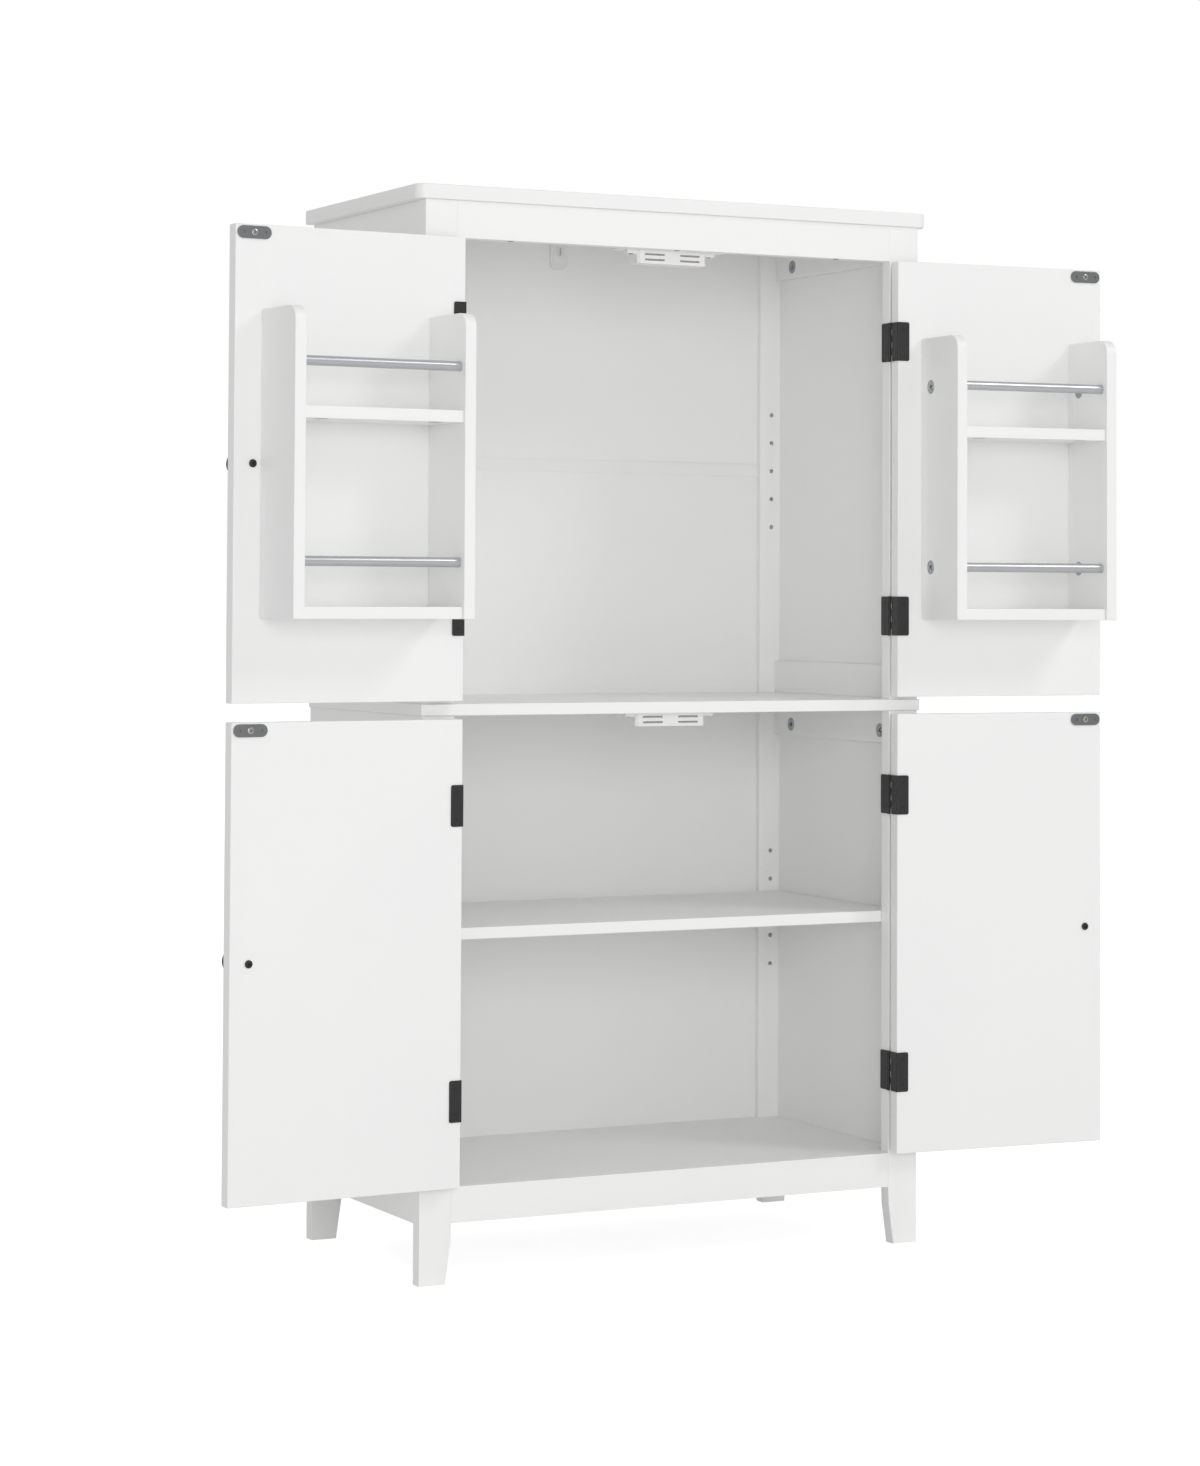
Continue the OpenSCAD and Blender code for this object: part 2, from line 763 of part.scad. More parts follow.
// The leaf that wraps round the door's edge, in a left door's frame
module door_leaf(z) {
    difference() {
        union() {
            difference() {
                box([door_x0 - leaf_t, -axis_out / 2, z - hinge_l / 2],
                    [door_x0, face_in + leaf_t, z + hinge_l / 2]);
                knuckle_room(z, 0);
            }
            translate([door_x0 + (leaf_wrap - leaf_t) / 2, face_in, z])
                plate(leaf_wrap + leaf_t, hinge_l, leaf_t, leaf_corner_r);
            box([door_x0 - leaf_t, face_in, z - hinge_l / 2],
                [door_x0 + leaf_corner_r, face_in + leaf_t, z + hinge_l / 2]);
            knuckle_row(z, 1);
        }
        z_rod(0, 0, z - hinge_l / 2 - over, z + hinge_l / 2 + over, hinge_pin_r + fit);
        for (s = [-1, 1]) translate([door_x0 + leaf_wrap / 2, face_in + leaf_t, z + s * leaf_screw_z])
            rotate([90, 0, 0]) screw(screw_l, screw_r, screw_head_r, leaf_t, fit);
    }
}

module frame_hinge_leaves() {
    color("black") for (side = [left, right]) on_side(side) difference() {
        translate([axis_x, axis_y, 0]) for (z = all_hinge_heights) frame_leaf(z);
        at_frame_leaf_screws() screw(screw_l, screw_r, screw_head_r, leaf_t, fit);
    }
}

// ---- catches and bracket ----

module magnetic_catch(z) {
    l = catch_body_l / 2;
    c = catch_chamfer;
    w = magnet_w / 2 + pocket_play;
    h = magnet_h / 2 + pole_t + pocket_play;
    y1 = catch_y + magnet_recess + magnet_d + pocket_play;
    difference() {
        union() {
            translate([0, catch_face_y, z - catch_h]) linear_extrude(catch_h)
                polygon([[-l, catch_d], [-l, c], [c - l, 0], [l - c, 0], [l, c], [l, catch_d]]);
            box([-catch_l / 2, catch_face_y + c, z - catch_ear_h],
                [catch_l / 2, catch_face_y + catch_ear_d, z]);
        }
        for (s = [-1, 1]) translate([s * magnet_x, 0, z - catch_h / 2]) {
            box([-w, catch_face_y + magnet_wall, -h], [w, y1, h]);
            for (k = [-1, 1]) translate([0, 0, k * (magnet_h + pole_t) / 2])
                box([-w, catch_face_y - over, -pole_t / 2 - pocket_play], [w, y1, pole_t / 2 + pocket_play]);
        }
        at_ear_screws(z) screw(ear_screw_l, screw_r, screw_head_r, ear_screw_head_l, fit);
    }
}

module catch_housings() {
    color("white") {
        magnetic_catch(upper_open_top);
        magnetic_catch(middle_z);
    }
}

module catch_magnets() {
    color("gray") for (top = [upper_open_top, middle_z], s = [-1, 1])
        translate([s * magnet_x - magnet_w / 2, catch_y + magnet_recess, top - (catch_h + magnet_h) / 2])
            cube([magnet_w, magnet_d, magnet_h]);
}

module catch_pole_plates() {
    color("dimgray") for (top = [upper_open_top, middle_z], s = [-1, 1], k = [-1, 1])
        translate([s * magnet_x - magnet_w / 2, catch_y,
                   top - catch_h / 2 + k * (magnet_h + pole_t) / 2 - pole_t / 2])
            cube([magnet_w, magnet_recess + magnet_d, pole_t]);
}

module wall_bracket() {
    r = bracket_corner_r;
    w = bracket_w / 2;
    color("white") difference() {
        union() {
            translate([0, back_front_y, under_top]) rotate([90, 0, 0]) linear_extrude(bracket_t) {
                translate([-w, -bracket_h + r]) square([bracket_w, bracket_h - r]);
                translate([-w + r, -bracket_h]) square([bracket_w - 2 * r, r]);
                for (s = [-1, 1]) translate([s * (w - r), -bracket_h + r]) circle(r);
            }
            box([-bracket_rib_w / 2, bracket_y - bracket_rib_t, under_top - bracket_h + r],
                [bracket_rib_w / 2, bracket_y, under_top]);
            box([-w, bracket_y - bracket_foot, under_top - bracket_t], [w, back_front_y, under_top]);
        }
        for (z = [-1, 1] * (slot_l / 2 - slot_r))
            y_rod(0, bracket_y - over, back_front_y + over, slot_z + z, slot_r);
        box([-slot_r, bracket_y - over, slot_z - slot_l / 2 + slot_r],
            [slot_r, back_front_y + over, slot_z + slot_l / 2 - slot_r]);
        at_bracket_screw() screw(bracket_screw_l, screw_r, screw_head_r, bracket_t, fit);
    }
}

// ---- doors ----

// A piece drawn in a left door's own frame goes to its door, open at the set angle
module on_door(side) {
    on_side(side) translate([axis_x, axis_y, 0]) rotate([0, 0, -open_angle]) children();
}

// Moves a screw to the door leaves of a door's hinges
module at_door_leaf_screws(z, h) {
    for (zc = hinge_heights(z, h), s = [-1, 1])
        translate([door_x0 + leaf_wrap / 2, face_in + leaf_t, zc + s * leaf_screw_z])
            rotate([90, 0, 0]) children();
}

// Moves a screw to a door's strike plate
module at_strike(z, h) {
    translate([strike_x, face_in + strike_t, z + h - strike_margin - strike_h / 2])
        rotate([90, 0, 0]) children();
}

// Moves a cam lock's parts to the two side boards of a rack, bolt towards the door
module at_side_cams() {
    for (x = [rack_x0, rack_x1 - rack_t], z = rod_z)
        translate([x, rack_cam_y, z]) rotate([0, -90, 0]) rotate([0, 0, -90]) children();
}

// Moves a cam lock's parts under the rack's shelves, bolt towards the side board
module at_shelf_cams() {
    for (z = rack_shelf_z, s = [-1, 1])
        translate([s < 0 ? rack_x0 + rack_t + shelf_cam_reach : rack_x1 - rack_t - shelf_cam_reach,
                   shelf_cam_y, z])
            rotate([180, 0, 0]) rotate([0, 0, s < 0 ? 180 : 0]) children();
}

module door_panel(side, z, h, has_rack) {
    color("white") on_door(side) difference() {
        box([door_x0, face_out, z], [door_x1, face_in, z + h]);
        box([door_x0 + door_border, face_out - over, z + door_border],
            [door_x1 - door_border, face_out + door_recess, z + h - door_border]);
        at_door_leaf_screws(z, h) screw(screw_l, screw_r, screw_head_r, leaf_t, fit);
        at_strike(z, h) screw(screw_l, strike_screw_r, strike_screw_head_r, strike_t, fit);
        y_rod(knob_x, face_out - over, face_in + over, z + h / 2, knob_bolt_r + fit);
        if (has_rack) at_side_cams() cam_cut(rack_cam_t, rack_t / 2, rack_cam_setback + bolt_grip);
    }
}

// The two wrap-round leaves of a door, with the pins that turn with them
module door_hinges(side, z, h) {
    color("black") on_door(side) for (zc = hinge_heights(z, h)) {
        door_leaf(zc);
        z_rod(0, 0, zc - hinge_l / 2, zc + hinge_l / 2, hinge_pin_r);
    }
}

module strike_plate(side, z, h) {
    color("dimgray") on_door(side) difference() {
        translate([strike_x, face_in, z + h - strike_margin - strike_h / 2])
            plate(strike_l, strike_h, strike_t, strike_corner_r);
        at_strike(z, h) screw(screw_l, strike_screw_r, strike_screw_head_r, strike_t, fit);
        for (s = [-1, 1]) at_strike(z, h) translate([s * dimple_x, 0, -over])
            cylinder(h = over + dimple_d, r = dimple_r);
    }
}

module knob(side, z, h) {
    foot_r = 8;
    foot_t = 3;
    neck_r = 6;
    head_t = 10;
    dome_r = 22;
    color("black") on_door(side) translate([knob_x, face_out, z + h / 2]) rotate([90, 0, 0]) difference() {
        union() {
            cylinder(h = foot_t, r = foot_r);
            cylinder(h = knob_l - head_t + over, r = neck_r);
            intersection() {
                translate([0, 0, knob_l - head_t]) cylinder(h = head_t, r = knob_r);
                translate([0, 0, knob_l - dome_r]) sphere(dome_r);
            }
        }
        translate([0, 0, -over])
            cylinder(h = over + knob_bolt_grip + knob_bolt_end_gap, r = knob_bolt_r + fit);
    }
}

// Everything threaded in a door: the knob's bolt, the strike plate's screw and the hinges' screws
module door_screws(side, z, h) {
    color("black") on_door(side) {
        at_door_leaf_screws(z, h) slotted_screw(screw_l, leaf_t);
        at_strike(z, h) difference() {
            screw(screw_l, strike_screw_r, strike_screw_head_r, strike_t);
            mirror([0, 0, 1]) cross_slot(strike_screw_slot);
        }
        difference() {
            union() {
                y_rod(knob_x, face_in, face_in + knob_bolt_head_t, z + h / 2, knob_bolt_head_r);
                y_rod(knob_x, face_out - knob_bolt_grip, face_in + knob_bolt_head_t / 2,
                      z + h / 2, knob_bolt_r);
            }
            translate([knob_x, face_in + knob_bolt_head_t, z + h / 2]) rotate([-90, 0, 0])
                cross_slot(knob_bolt_slot);
        }
    }
}

// ---- door racks ----

module rack_sides(side) {
    r = rack_corner_r;
    color("white") on_door(side) difference() {
        for (x = [rack_x0, rack_x1 - rack_t])
            translate([x, 0, 0]) rotate([90, 0, 90]) linear_extrude(rack_t) {
                translate([face_in, rack_z0]) square([rack_d, rack_z1 - rack_z0 - r]);
                translate([face_in, rack_z0]) square([rack_d - r, rack_z1 - rack_z0]);
                translate([rack_front - r, rack_z1 - r]) circle(r);
            }
        for (z = rod_z)
            x_rod(rack_x0 + rack_t - rod_hole_d, rack_x1 - rack_t + rod_hole_d, rod_y, z, rod_r + fit);
        at_side_cams() cam_cut(rack_cam_t, rack_t / 2, rack_cam_setback + bolt_grip);
        at_shelf_cams() cam_bolt_hole();
    }
}

// The hole of a shelf's cam bolt in a side board
module cam_bolt_hole() {
    translate([0, 0, -rack_t / 2]) rotate([0, 90, 0])
        cylinder(h = shelf_cam_reach + bolt_grip + dowel_gap, r = bolt_r + fit);
}

module rack_shelves(side) {
    color("white") on_door(side) difference() {
        for (z = rack_shelf_z)
            box([rack_x0 + rack_t, face_in, z], [rack_x1 - rack_t, rack_front - rack_setback, z + rack_t]);
        at_shelf_cams() cam_cut(rack_cam_t, rack_t / 2, shelf_cam_reach);
    }
}

module rack_rods(side) {
    reach = rod_hole_d - rod_end_gap;
    color("silver") on_door(side) for (z = rod_z)
        x_rod(rack_x0 + rack_t - reach, rack_x1 - rack_t + reach, rod_y, z, rod_r);
}

module rack_cam_locks(side) {
    color("silver") on_door(side) {
        at_side_cams() {
            cam(rack_cam_t, rack_t / 2);
            cam_bolt(rack_t / 2, rack_cam_setback);
        }
        at_shelf_cams() {
            cam(rack_cam_t, rack_t / 2);
            cam_bolt(rack_t / 2, shelf_cam_reach);
        }
    }
}

// ---- nodes ----

top_panel();
top_front_rail();
catch_block();
middle_panel();
floor_panel();
bottom_front_rail();
back_panels();
back_joint_strips();
upper_stile(left, front);  // upper_left_front_stile
upper_stile(left, back);  // upper_left_back_stile
upper_stile(right, front);  // upper_right_front_stile
upper_stile(right, back);  // upper_right_back_stile
lower_leg(left, front);  // lower_left_front_leg
lower_leg(left, back);  // lower_left_back_leg
lower_leg(right, front);  // lower_right_front_leg
lower_leg(right, back);  // lower_right_back_leg
side_rails(left);  // left_side_rails
side_rails(right);  // right_side_rails
upper_side_panel(left);  // upper_left_side_panel
upper_side_panel(right);  // upper_right_side_panel
lower_side_panel(left);  // lower_left_side_panel
lower_side_panel(right);  // lower_right_side_panel
shelf();
shelf_pins();
wooden_dowels();
frame_cam_locks();
frame_screws();
frame_hinge_leaves();
catch_housings();
catch_magnets();
catch_pole_plates();
wall_bracket();
door_panel(left, upper_door_z, upper_door_h, true);  // upper_left_door
door_panel(right, upper_door_z, upper_door_h, true);  // upper_right_door
door_panel(left, lower_door_z, lower_door_h, false);  // lower_left_door
door_panel(right, lower_door_z, lower_door_h, false);  // lower_right_door
door_hinges(left, upper_door_z, upper_door_h);  // upper_left_hinge_leaves
door_hinges(right, upper_door_z, upper_door_h);  // upper_right_hinge_leaves
door_hinges(left, lower_door_z, lower_door_h);  // lower_left_hinge_leaves
door_hinges(right, lower_door_z, lower_door_h);  // lower_right_hinge_leaves
strike_plate(left, upper_door_z, upper_door_h);  // upper_left_strike_plate
strike_plate(right, upper_door_z, upper_door_h);  // upper_right_strike_plate
strike_plate(left, lower_door_z, lower_door_h);  // lower_left_strike_plate
strike_plate(right, lower_door_z, lower_door_h);  // lower_right_strike_plate
knob(left, upper_door_z, upper_door_h);  // upper_left_knob
knob(right, upper_door_z, upper_door_h);  // upper_right_knob
knob(left, lower_door_z, lower_door_h);  // lower_left_knob
knob(right, lower_door_z, lower_door_h);  // lower_right_knob
door_screws(left, upper_door_z, upper_door_h);  // upper_left_door_screws
door_screws(right, upper_door_z, upper_door_h);  // upper_right_door_screws
door_screws(left, lower_door_z, lower_door_h);  // lower_left_door_screws
door_screws(right, lower_door_z, lower_door_h);  // lower_right_door_screws
rack_sides(left);  // left_rack_sides
rack_sides(right);  // right_rack_sides
rack_shelves(left);  // left_rack_shelves
rack_shelves(right);  // right_rack_shelves
rack_rods(left);  // left_rack_rods
rack_rods(right);  // right_rack_rods
rack_cam_locks(left);  // left_rack_cam_locks
rack_cam_locks(right);  // right_rack_cam_locks
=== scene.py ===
# %% [markdown]
# # A two-tier pantry cabinet, finished round its CAD frame
# The cabinet stands open: four inset doors on black wrap-round hinges, a bottle rack on each
# upper door, one loose shelf and two magnetic catches. OpenSCAD has already cut every board and
# fitting to size. This notebook gives the pieces what a drawing leaves out: sanded edges,
# lacquer, turned and pressed metal, and light.
#
# The CAD model is loaded first and never moved. Every new piece takes its place and its size
# from it, so nothing has to be fitted by eye.

# %% Load the fixed frame
import json
import math

import bmesh
import bpy
from mathutils import Matrix, Vector

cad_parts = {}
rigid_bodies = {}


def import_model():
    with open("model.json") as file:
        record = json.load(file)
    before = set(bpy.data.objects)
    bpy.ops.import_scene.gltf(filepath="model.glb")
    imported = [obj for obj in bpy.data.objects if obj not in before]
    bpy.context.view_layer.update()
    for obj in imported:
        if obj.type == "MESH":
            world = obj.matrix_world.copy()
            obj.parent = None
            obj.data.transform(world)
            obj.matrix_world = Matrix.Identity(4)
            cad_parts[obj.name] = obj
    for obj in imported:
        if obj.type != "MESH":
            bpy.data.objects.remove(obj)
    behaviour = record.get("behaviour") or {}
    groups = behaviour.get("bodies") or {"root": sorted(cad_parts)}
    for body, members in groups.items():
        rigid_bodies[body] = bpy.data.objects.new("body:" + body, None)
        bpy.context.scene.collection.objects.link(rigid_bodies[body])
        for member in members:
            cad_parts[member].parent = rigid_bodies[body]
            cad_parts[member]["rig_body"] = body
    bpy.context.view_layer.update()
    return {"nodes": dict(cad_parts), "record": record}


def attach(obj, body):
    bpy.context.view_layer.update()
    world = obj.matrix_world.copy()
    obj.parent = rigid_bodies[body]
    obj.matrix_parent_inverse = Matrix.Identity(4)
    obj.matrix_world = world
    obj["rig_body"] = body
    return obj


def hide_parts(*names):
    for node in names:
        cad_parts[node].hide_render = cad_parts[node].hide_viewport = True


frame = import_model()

MM = 0.001
nodes = frame["nodes"]
slot_of = {row["node"]: row["material_slot"] for row in frame["record"]["subparts"]}

# %% [markdown]
# ## Camera
# The cabinet is seen from a low eye height, far to its left, through a long lens, so its
# uprights stay nearly parallel. The lens is shifted down, as an architect's lens can be: the
# camera stays almost level and the uprights don't lean, yet the feet are in the picture. The
# turn is built from three plain angles, because one matrix is easier to read than a constraint
# that aims at a target.

# %% Camera
CAMERA_PLACE = Vector((-1.7204, -3.3589, 0.6867))
CAMERA_TURN, CAMERA_TILT, CAMERA_ROLL = 26.617, 2.113, 0.287
LENS_MM, SENSOR_MM = 86.18, 36
LENS_SHIFT = (0.0111, -0.1818)

lens = bpy.data.cameras.new("camera")
lens.lens = LENS_MM
lens.sensor_width = SENSOR_MM
lens.shift_x, lens.shift_y = LENS_SHIFT
lens.clip_start, lens.clip_end = 0.05, 60
camera = bpy.data.objects.new("camera", lens)
bpy.context.scene.collection.objects.link(camera)
camera.matrix_world = (
    Matrix.Translation(CAMERA_PLACE)
    @ Matrix.Rotation(math.radians(-CAMERA_TURN), 4, "Z")
    @ Matrix.Rotation(math.radians(90 + CAMERA_TILT), 4, "X")
    @ Matrix.Rotation(math.radians(CAMERA_ROLL), 4, "Z")
)
bpy.context.scene.camera = camera
print("camera at", tuple(CAMERA_PLACE), "with a", LENS_MM, "mm lens")

# %% [markdown]
# ## Floor and light
# White furniture on white ground lives on very soft light. Three things make it: an even white
# room all round, a large lamp high at the right front, whose shadows fall down and to the left,
# and a second large lamp low beside the camera, which reaches deep into the open cabinet. A
# ring of small lamps would give several hard shadows instead.

# %% Floor and light
FLOOR_SIZE = 60
LAMP_AIM = Vector((0, 0, 0.5))

floor_shape = bmesh.new()
bmesh.ops.create_grid(floor_shape, x_segments=1, y_segments=1, size=FLOOR_SIZE / 2)
floor_mesh = bpy.data.meshes.new("studio_floor")
floor_shape.to_mesh(floor_mesh)
floor = bpy.data.objects.new("studio_floor", floor_mesh)
bpy.context.scene.collection.objects.link(floor)
bpy.context.scene.view_settings.view_transform = "Standard"


def soft_lamp(name, place, size, watts):
    """A round soft box that looks at the cabinet"""
    light = bpy.data.lights.new(name, "AREA")
    light.shape, light.size, light.energy = "DISK", size, watts
    lamp = bpy.data.objects.new(name, light)
    bpy.context.scene.collection.objects.link(lamp)
    turn = (Vector(place) - LAMP_AIM).to_track_quat("Z", "Y").to_matrix().to_4x4()
    lamp.matrix_world = Matrix.Translation(place) @ turn


soft_lamp("key", (2.5, -2.9, 3.3), 1.3, 30)
soft_lamp("fill", (-1.3, -4.2, 1.1), 1.8, 40)
print(len(bpy.data.lights), "soft boxes")

# %% [markdown]
# ## Two helpers for finishes
# Paint charts give colours as sRGB hex values, and Blender mixes light in linear values, so one
# function turns the first into the second. The other adds a node with its settings and its
# links in one call, which keeps each finish below short enough to read.


# %% Helpers for finishes
def srgb(code):
    """A paint chart's hex colour as Blender's linear colour"""
    parts = [int(code[i : i + 2], 16) / 255 for i in (1, 3, 5)]
    return (*[p / 12.92 if p <= 0.04045 else ((p + 0.055) / 1.055) ** 2.4 for p in parts], 1)


def add(tree, kind, inputs=None, **settings):
    """Adds a node. An input is a value, or a node and the name of its output"""
    node = tree.nodes.new(kind)
    for name, value in settings.items():
        setattr(node, name, value)
    for name, value in (inputs or {}).items():
        linked = isinstance(value, tuple) and isinstance(value[0], bpy.types.Node)
        if linked:
            tree.links.new(value[0].outputs[value[1]], node.inputs[name])
        else:
            node.inputs[name].default_value = value
    return node


def new_finish(name):
    """An empty material, its node tree and its object coordinates"""
    material = bpy.data.materials.new(name)
    material.use_nodes = True
    material.node_tree.nodes.clear()
    return material, material.node_tree, add(material.node_tree, "ShaderNodeTexCoord")


def per(millimetres):
    """The scale of a pattern whose features are so many millimetres apart"""
    return 1 / (millimetres * MM)


# Sockets of the Mix node when it mixes two colours
MIX_A, MIX_B, MIX_OUT = 6, 7, 2
print("black is", srgb("#000000")[0], "and white is", srgb("#ffffff")[0])

# %% [markdown]
# ## The white room
# A cut-out on white needs a wall and a floor that burn out to plain white. Anything as bright
# as that would also light the cabinet, and the light from below would take its greys away. So
# the room has one strength for the rays that only see it and another for those that light
# things, and the floor's own glow is there for the rays that see it and for nothing else.

# %% The white room
ROOM_LIGHT, ROOM_SEEN = 0.59, 1.0
FLOOR_SEEN = 0.6

room = bpy.data.worlds.new("white_room")
room.use_nodes = True
room.node_tree.nodes.clear()
bpy.context.scene.world = room
ray = add(room.node_tree, "ShaderNodeLightPath")
glow = add(room.node_tree, "ShaderNodeMapRange", {"Value": (ray, "Is Camera Ray"),
                                                  "To Min": ROOM_LIGHT, "To Max": ROOM_SEEN})
wall = add(room.node_tree, "ShaderNodeBackground", {"Color": (1, 1, 1, 1),
                                                    "Strength": (glow, "Result")})
add(room.node_tree, "ShaderNodeOutputWorld", {"Surface": (wall, "Background")})
print("the room lights at", ROOM_LIGHT, "and shows at", ROOM_SEEN)

# %% [markdown]
# ## White lacquer on fibreboard
# The boards are MDF, sprayed with a satin white lacquer. It is nearly flat: what the eye gets is
# a broad soft highlight, a very faint cloudiness of the coat, and the fine ripple that painters
# call orange peel. A real ripple is about 1 mm wide and too fine to show from three metres, so
# it is drawn 2.5 mm wide and very shallow. Sharp convex edges, which the pointiness of the
# surface finds, are painted lighter: a painted highlight along every edge.


# %% White lacquer on fibreboard
def lacquer(name, light, dark, roughness, ripple_mm, ripple_depth):
    """A sprayed coat: cloudy colour, a painted highlight on its edges, uneven gloss and a shallow ripple"""
    material, tree, place = new_finish(name)
    point = (place, "Object")
    clouds = add(tree, "ShaderNodeTexNoise", {"Vector": point, "Scale": per(160), "Detail": 3})
    body = add(tree, "ShaderNodeMix", {0: (clouds, "Fac"), MIX_A: srgb(light), MIX_B: srgb(dark)},
               data_type="RGBA")
    # Painted highlight: where the surface is pointy, on its convex edges, the colour is mixed toward a
    # lighter white
    shape = add(tree, "ShaderNodeNewGeometry")
    edge = add(tree, "ShaderNodeMapRange", {"Value": (shape, "Pointiness"), "From Min": 0.52,
                                            "From Max": 0.6, "To Max": 0.5})
    coat_with_painted_edge_highlight = add(tree, "ShaderNodeMix", {0: (edge, "Result"), MIX_A: (body, MIX_OUT),
                                       MIX_B: srgb("#fafaf9")}, data_type="RGBA")
    sheen = add(tree, "ShaderNodeTexNoise", {"Vector": point, "Scale": per(25), "Detail": 2})
    gloss = add(tree, "ShaderNodeMapRange", {"Value": (sheen, "Fac"), "To Min": roughness - 0.04,
                                             "To Max": roughness + 0.05})
    peel = add(tree, "ShaderNodeTexNoise", {"Vector": point, "Scale": per(ripple_mm), "Detail": 1})
    ripple = add(tree, "ShaderNodeBump", {"Height": (peel, "Fac"), "Strength": 0.35,
                                          "Distance": ripple_depth * MM})
    paint = add(tree, "ShaderNodeBsdfPrincipled", {"Base Color": (coat_with_painted_edge_highlight, MIX_OUT),
                                                   "Roughness": (gloss, "Result"),
                                                   "Normal": (ripple, "Normal")})
    add(tree, "ShaderNodeOutputMaterial", {"Surface": (paint, "BSDF")})
    return material


finishes = {
    "white_painted_mdf": lacquer("satin_white_lacquer_on_mdf", "#f7f7f6", "#f4f4f4", 0.42, 2.5, 0.05),
    # Thin hardboard is faced with a white foil, which is flatter and a shade greyer
    "white_hardboard": lacquer("white_foil_on_hardboard", "#f4f4f3", "#f1f1f1", 0.5, 4, 0.02),
    # Injection moulded polypropylene, fine matt from a sparked mould
    "white_plastic": lacquer("moulded_white_polypropylene", "#f1f1ef", "#eeeeed", 0.36, 0.8, 0.02),
    # Powder coat on sheet steel has a coarser ripple than lacquer
    "white_steel": lacquer("white_powder_coat_on_steel", "#ececec", "#e8e8e8", 0.4, 1.5, 0.06),
}
print("white finishes:", ", ".join(m.name for m in finishes.values()))

# %% [markdown]
# ## Metals and dark finishes
# The hinges are sheet steel with a black electrophoretic coat: a thin matt skin, so they are
# drawn as a dark coat and not as bare metal. The other fittings are metal all the way through,
# and they differ in colour, in roughness and in the marks of how they were made: drawn rods have
# fine lines along their length, and die-cast zinc is mottled. One function serves them all, with
# the pattern stretched by a Mapping node where the marks have a direction.


# %% Metals and dark finishes
def metal(name, light, dark, roughness, grain, depth, metallic=1, stretch=(1, 1, 1)):
    """A metal or a coated metal: mottled colour, uneven gloss and a fine surface grain"""
    material, tree, place = new_finish(name)
    turned = add(tree, "ShaderNodeMapping", {"Vector": (place, "Object"), "Scale": stretch})
    point = (turned, "Vector")
    mottle = add(tree, "ShaderNodeTexNoise", {"Vector": point, "Scale": per(grain * 6), "Detail": 4})
    colour = add(tree, "ShaderNodeMix", {0: (mottle, "Fac"), MIX_A: srgb(light), MIX_B: srgb(dark)},
                 data_type="RGBA")
    gloss = add(tree, "ShaderNodeMapRange", {"Value": (mottle, "Fac"), "To Min": roughness - 0.07,
                                             "To Max": roughness + 0.08})
    marks = add(tree, "ShaderNodeTexNoise", {"Vector": point, "Scale": per(grain), "Detail": 2})
    bump = add(tree, "ShaderNodeBump", {"Height": (marks, "Fac"), "Strength": 0.4,
                                        "Distance": depth * MM})
    skin = add(tree, "ShaderNodeBsdfPrincipled", {"Base Color": (colour, MIX_OUT), "Metallic": metallic,
                                                  "Roughness": (gloss, "Result"),
                                                  "Normal": (bump, "Normal")})
    add(tree, "ShaderNodeOutputMaterial", {"Surface": (skin, "BSDF")})
    return material


WHITE_FINISHES = len(finishes)
finishes.update({
    "black_steel": metal("black_e_coat_on_steel", "#262627", "#1e1e1f", 0.45, 0.8, 0.02, metallic=0),
    "black_zinc": metal("black_zinc_plate", "#232324", "#161617", 0.38, 0.8, 0.01, metallic=0),
    "gunmetal_steel": metal("gunmetal_nickel_on_steel", "#8e8f91", "#7b7c7e", 0.4, 1, 0.01),
    "nickel_steel": metal("bright_nickel_plate", "#c9c6c0", "#b3b0ab", 0.28, 1, 0.005),
    "zinc": metal("die_cast_zinc", "#c3c5c7", "#a5a7aa", 0.42, 1.2, 0.03),
    # Drawn along X, so the marks are stretched ninety times in that direction
    "aluminium": metal("satin_drawn_aluminium", "#d3d4d6", "#bcbdc0", 0.34, 0.9, 0.01,
                       stretch=(0.011, 1, 1)),
    # Sintered ferrite is a ceramic: dull charcoal with a coarse grain
    "ferrite": metal("sintered_ferrite", "#3b3a3a", "#2d2c2c", 0.72, 0.6, 0.05, metallic=0),
})
print("metals and dark finishes:", len(finishes) - WHITE_FINISHES)

# %% [markdown]
# ## Beech
# The dowels are turned from beech, with pale pinkish wood and short darker flecks along the
# grain. They are hidden in their holes, so a stretched noise is enough and rings aren't drawn.

# %% Beech
beech, wood_tree, wood_place = new_finish("turned_beech")
along = add(wood_tree, "ShaderNodeMapping", {"Vector": (wood_place, "Object"), "Scale": (1, 0.15, 1)})
flecks = add(wood_tree, "ShaderNodeTexNoise", {"Vector": (along, "Vector"), "Scale": per(1.5), "Detail": 4})
wood = add(wood_tree, "ShaderNodeMix", {0: (flecks, "Fac"), MIX_A: srgb("#dcb88f"),
                                        MIX_B: srgb("#b98d63")}, data_type="RGBA")
timber = add(wood_tree, "ShaderNodeBsdfPrincipled", {"Base Color": (wood, MIX_OUT), "Roughness": 0.6})
add(wood_tree, "ShaderNodeOutputMaterial", {"Surface": (timber, "BSDF")})
finishes["beech"] = beech
print("finishes for slots:", sorted(finishes))

# %% [markdown]
# ## Studio paper
# The floor is a wide sheet of matt white paper with a faint cloudiness. It glows for the rays
# that see it, so that it meets the wall without a line. For all others it is plain paper, which
# keeps the soft shadow between the feet.

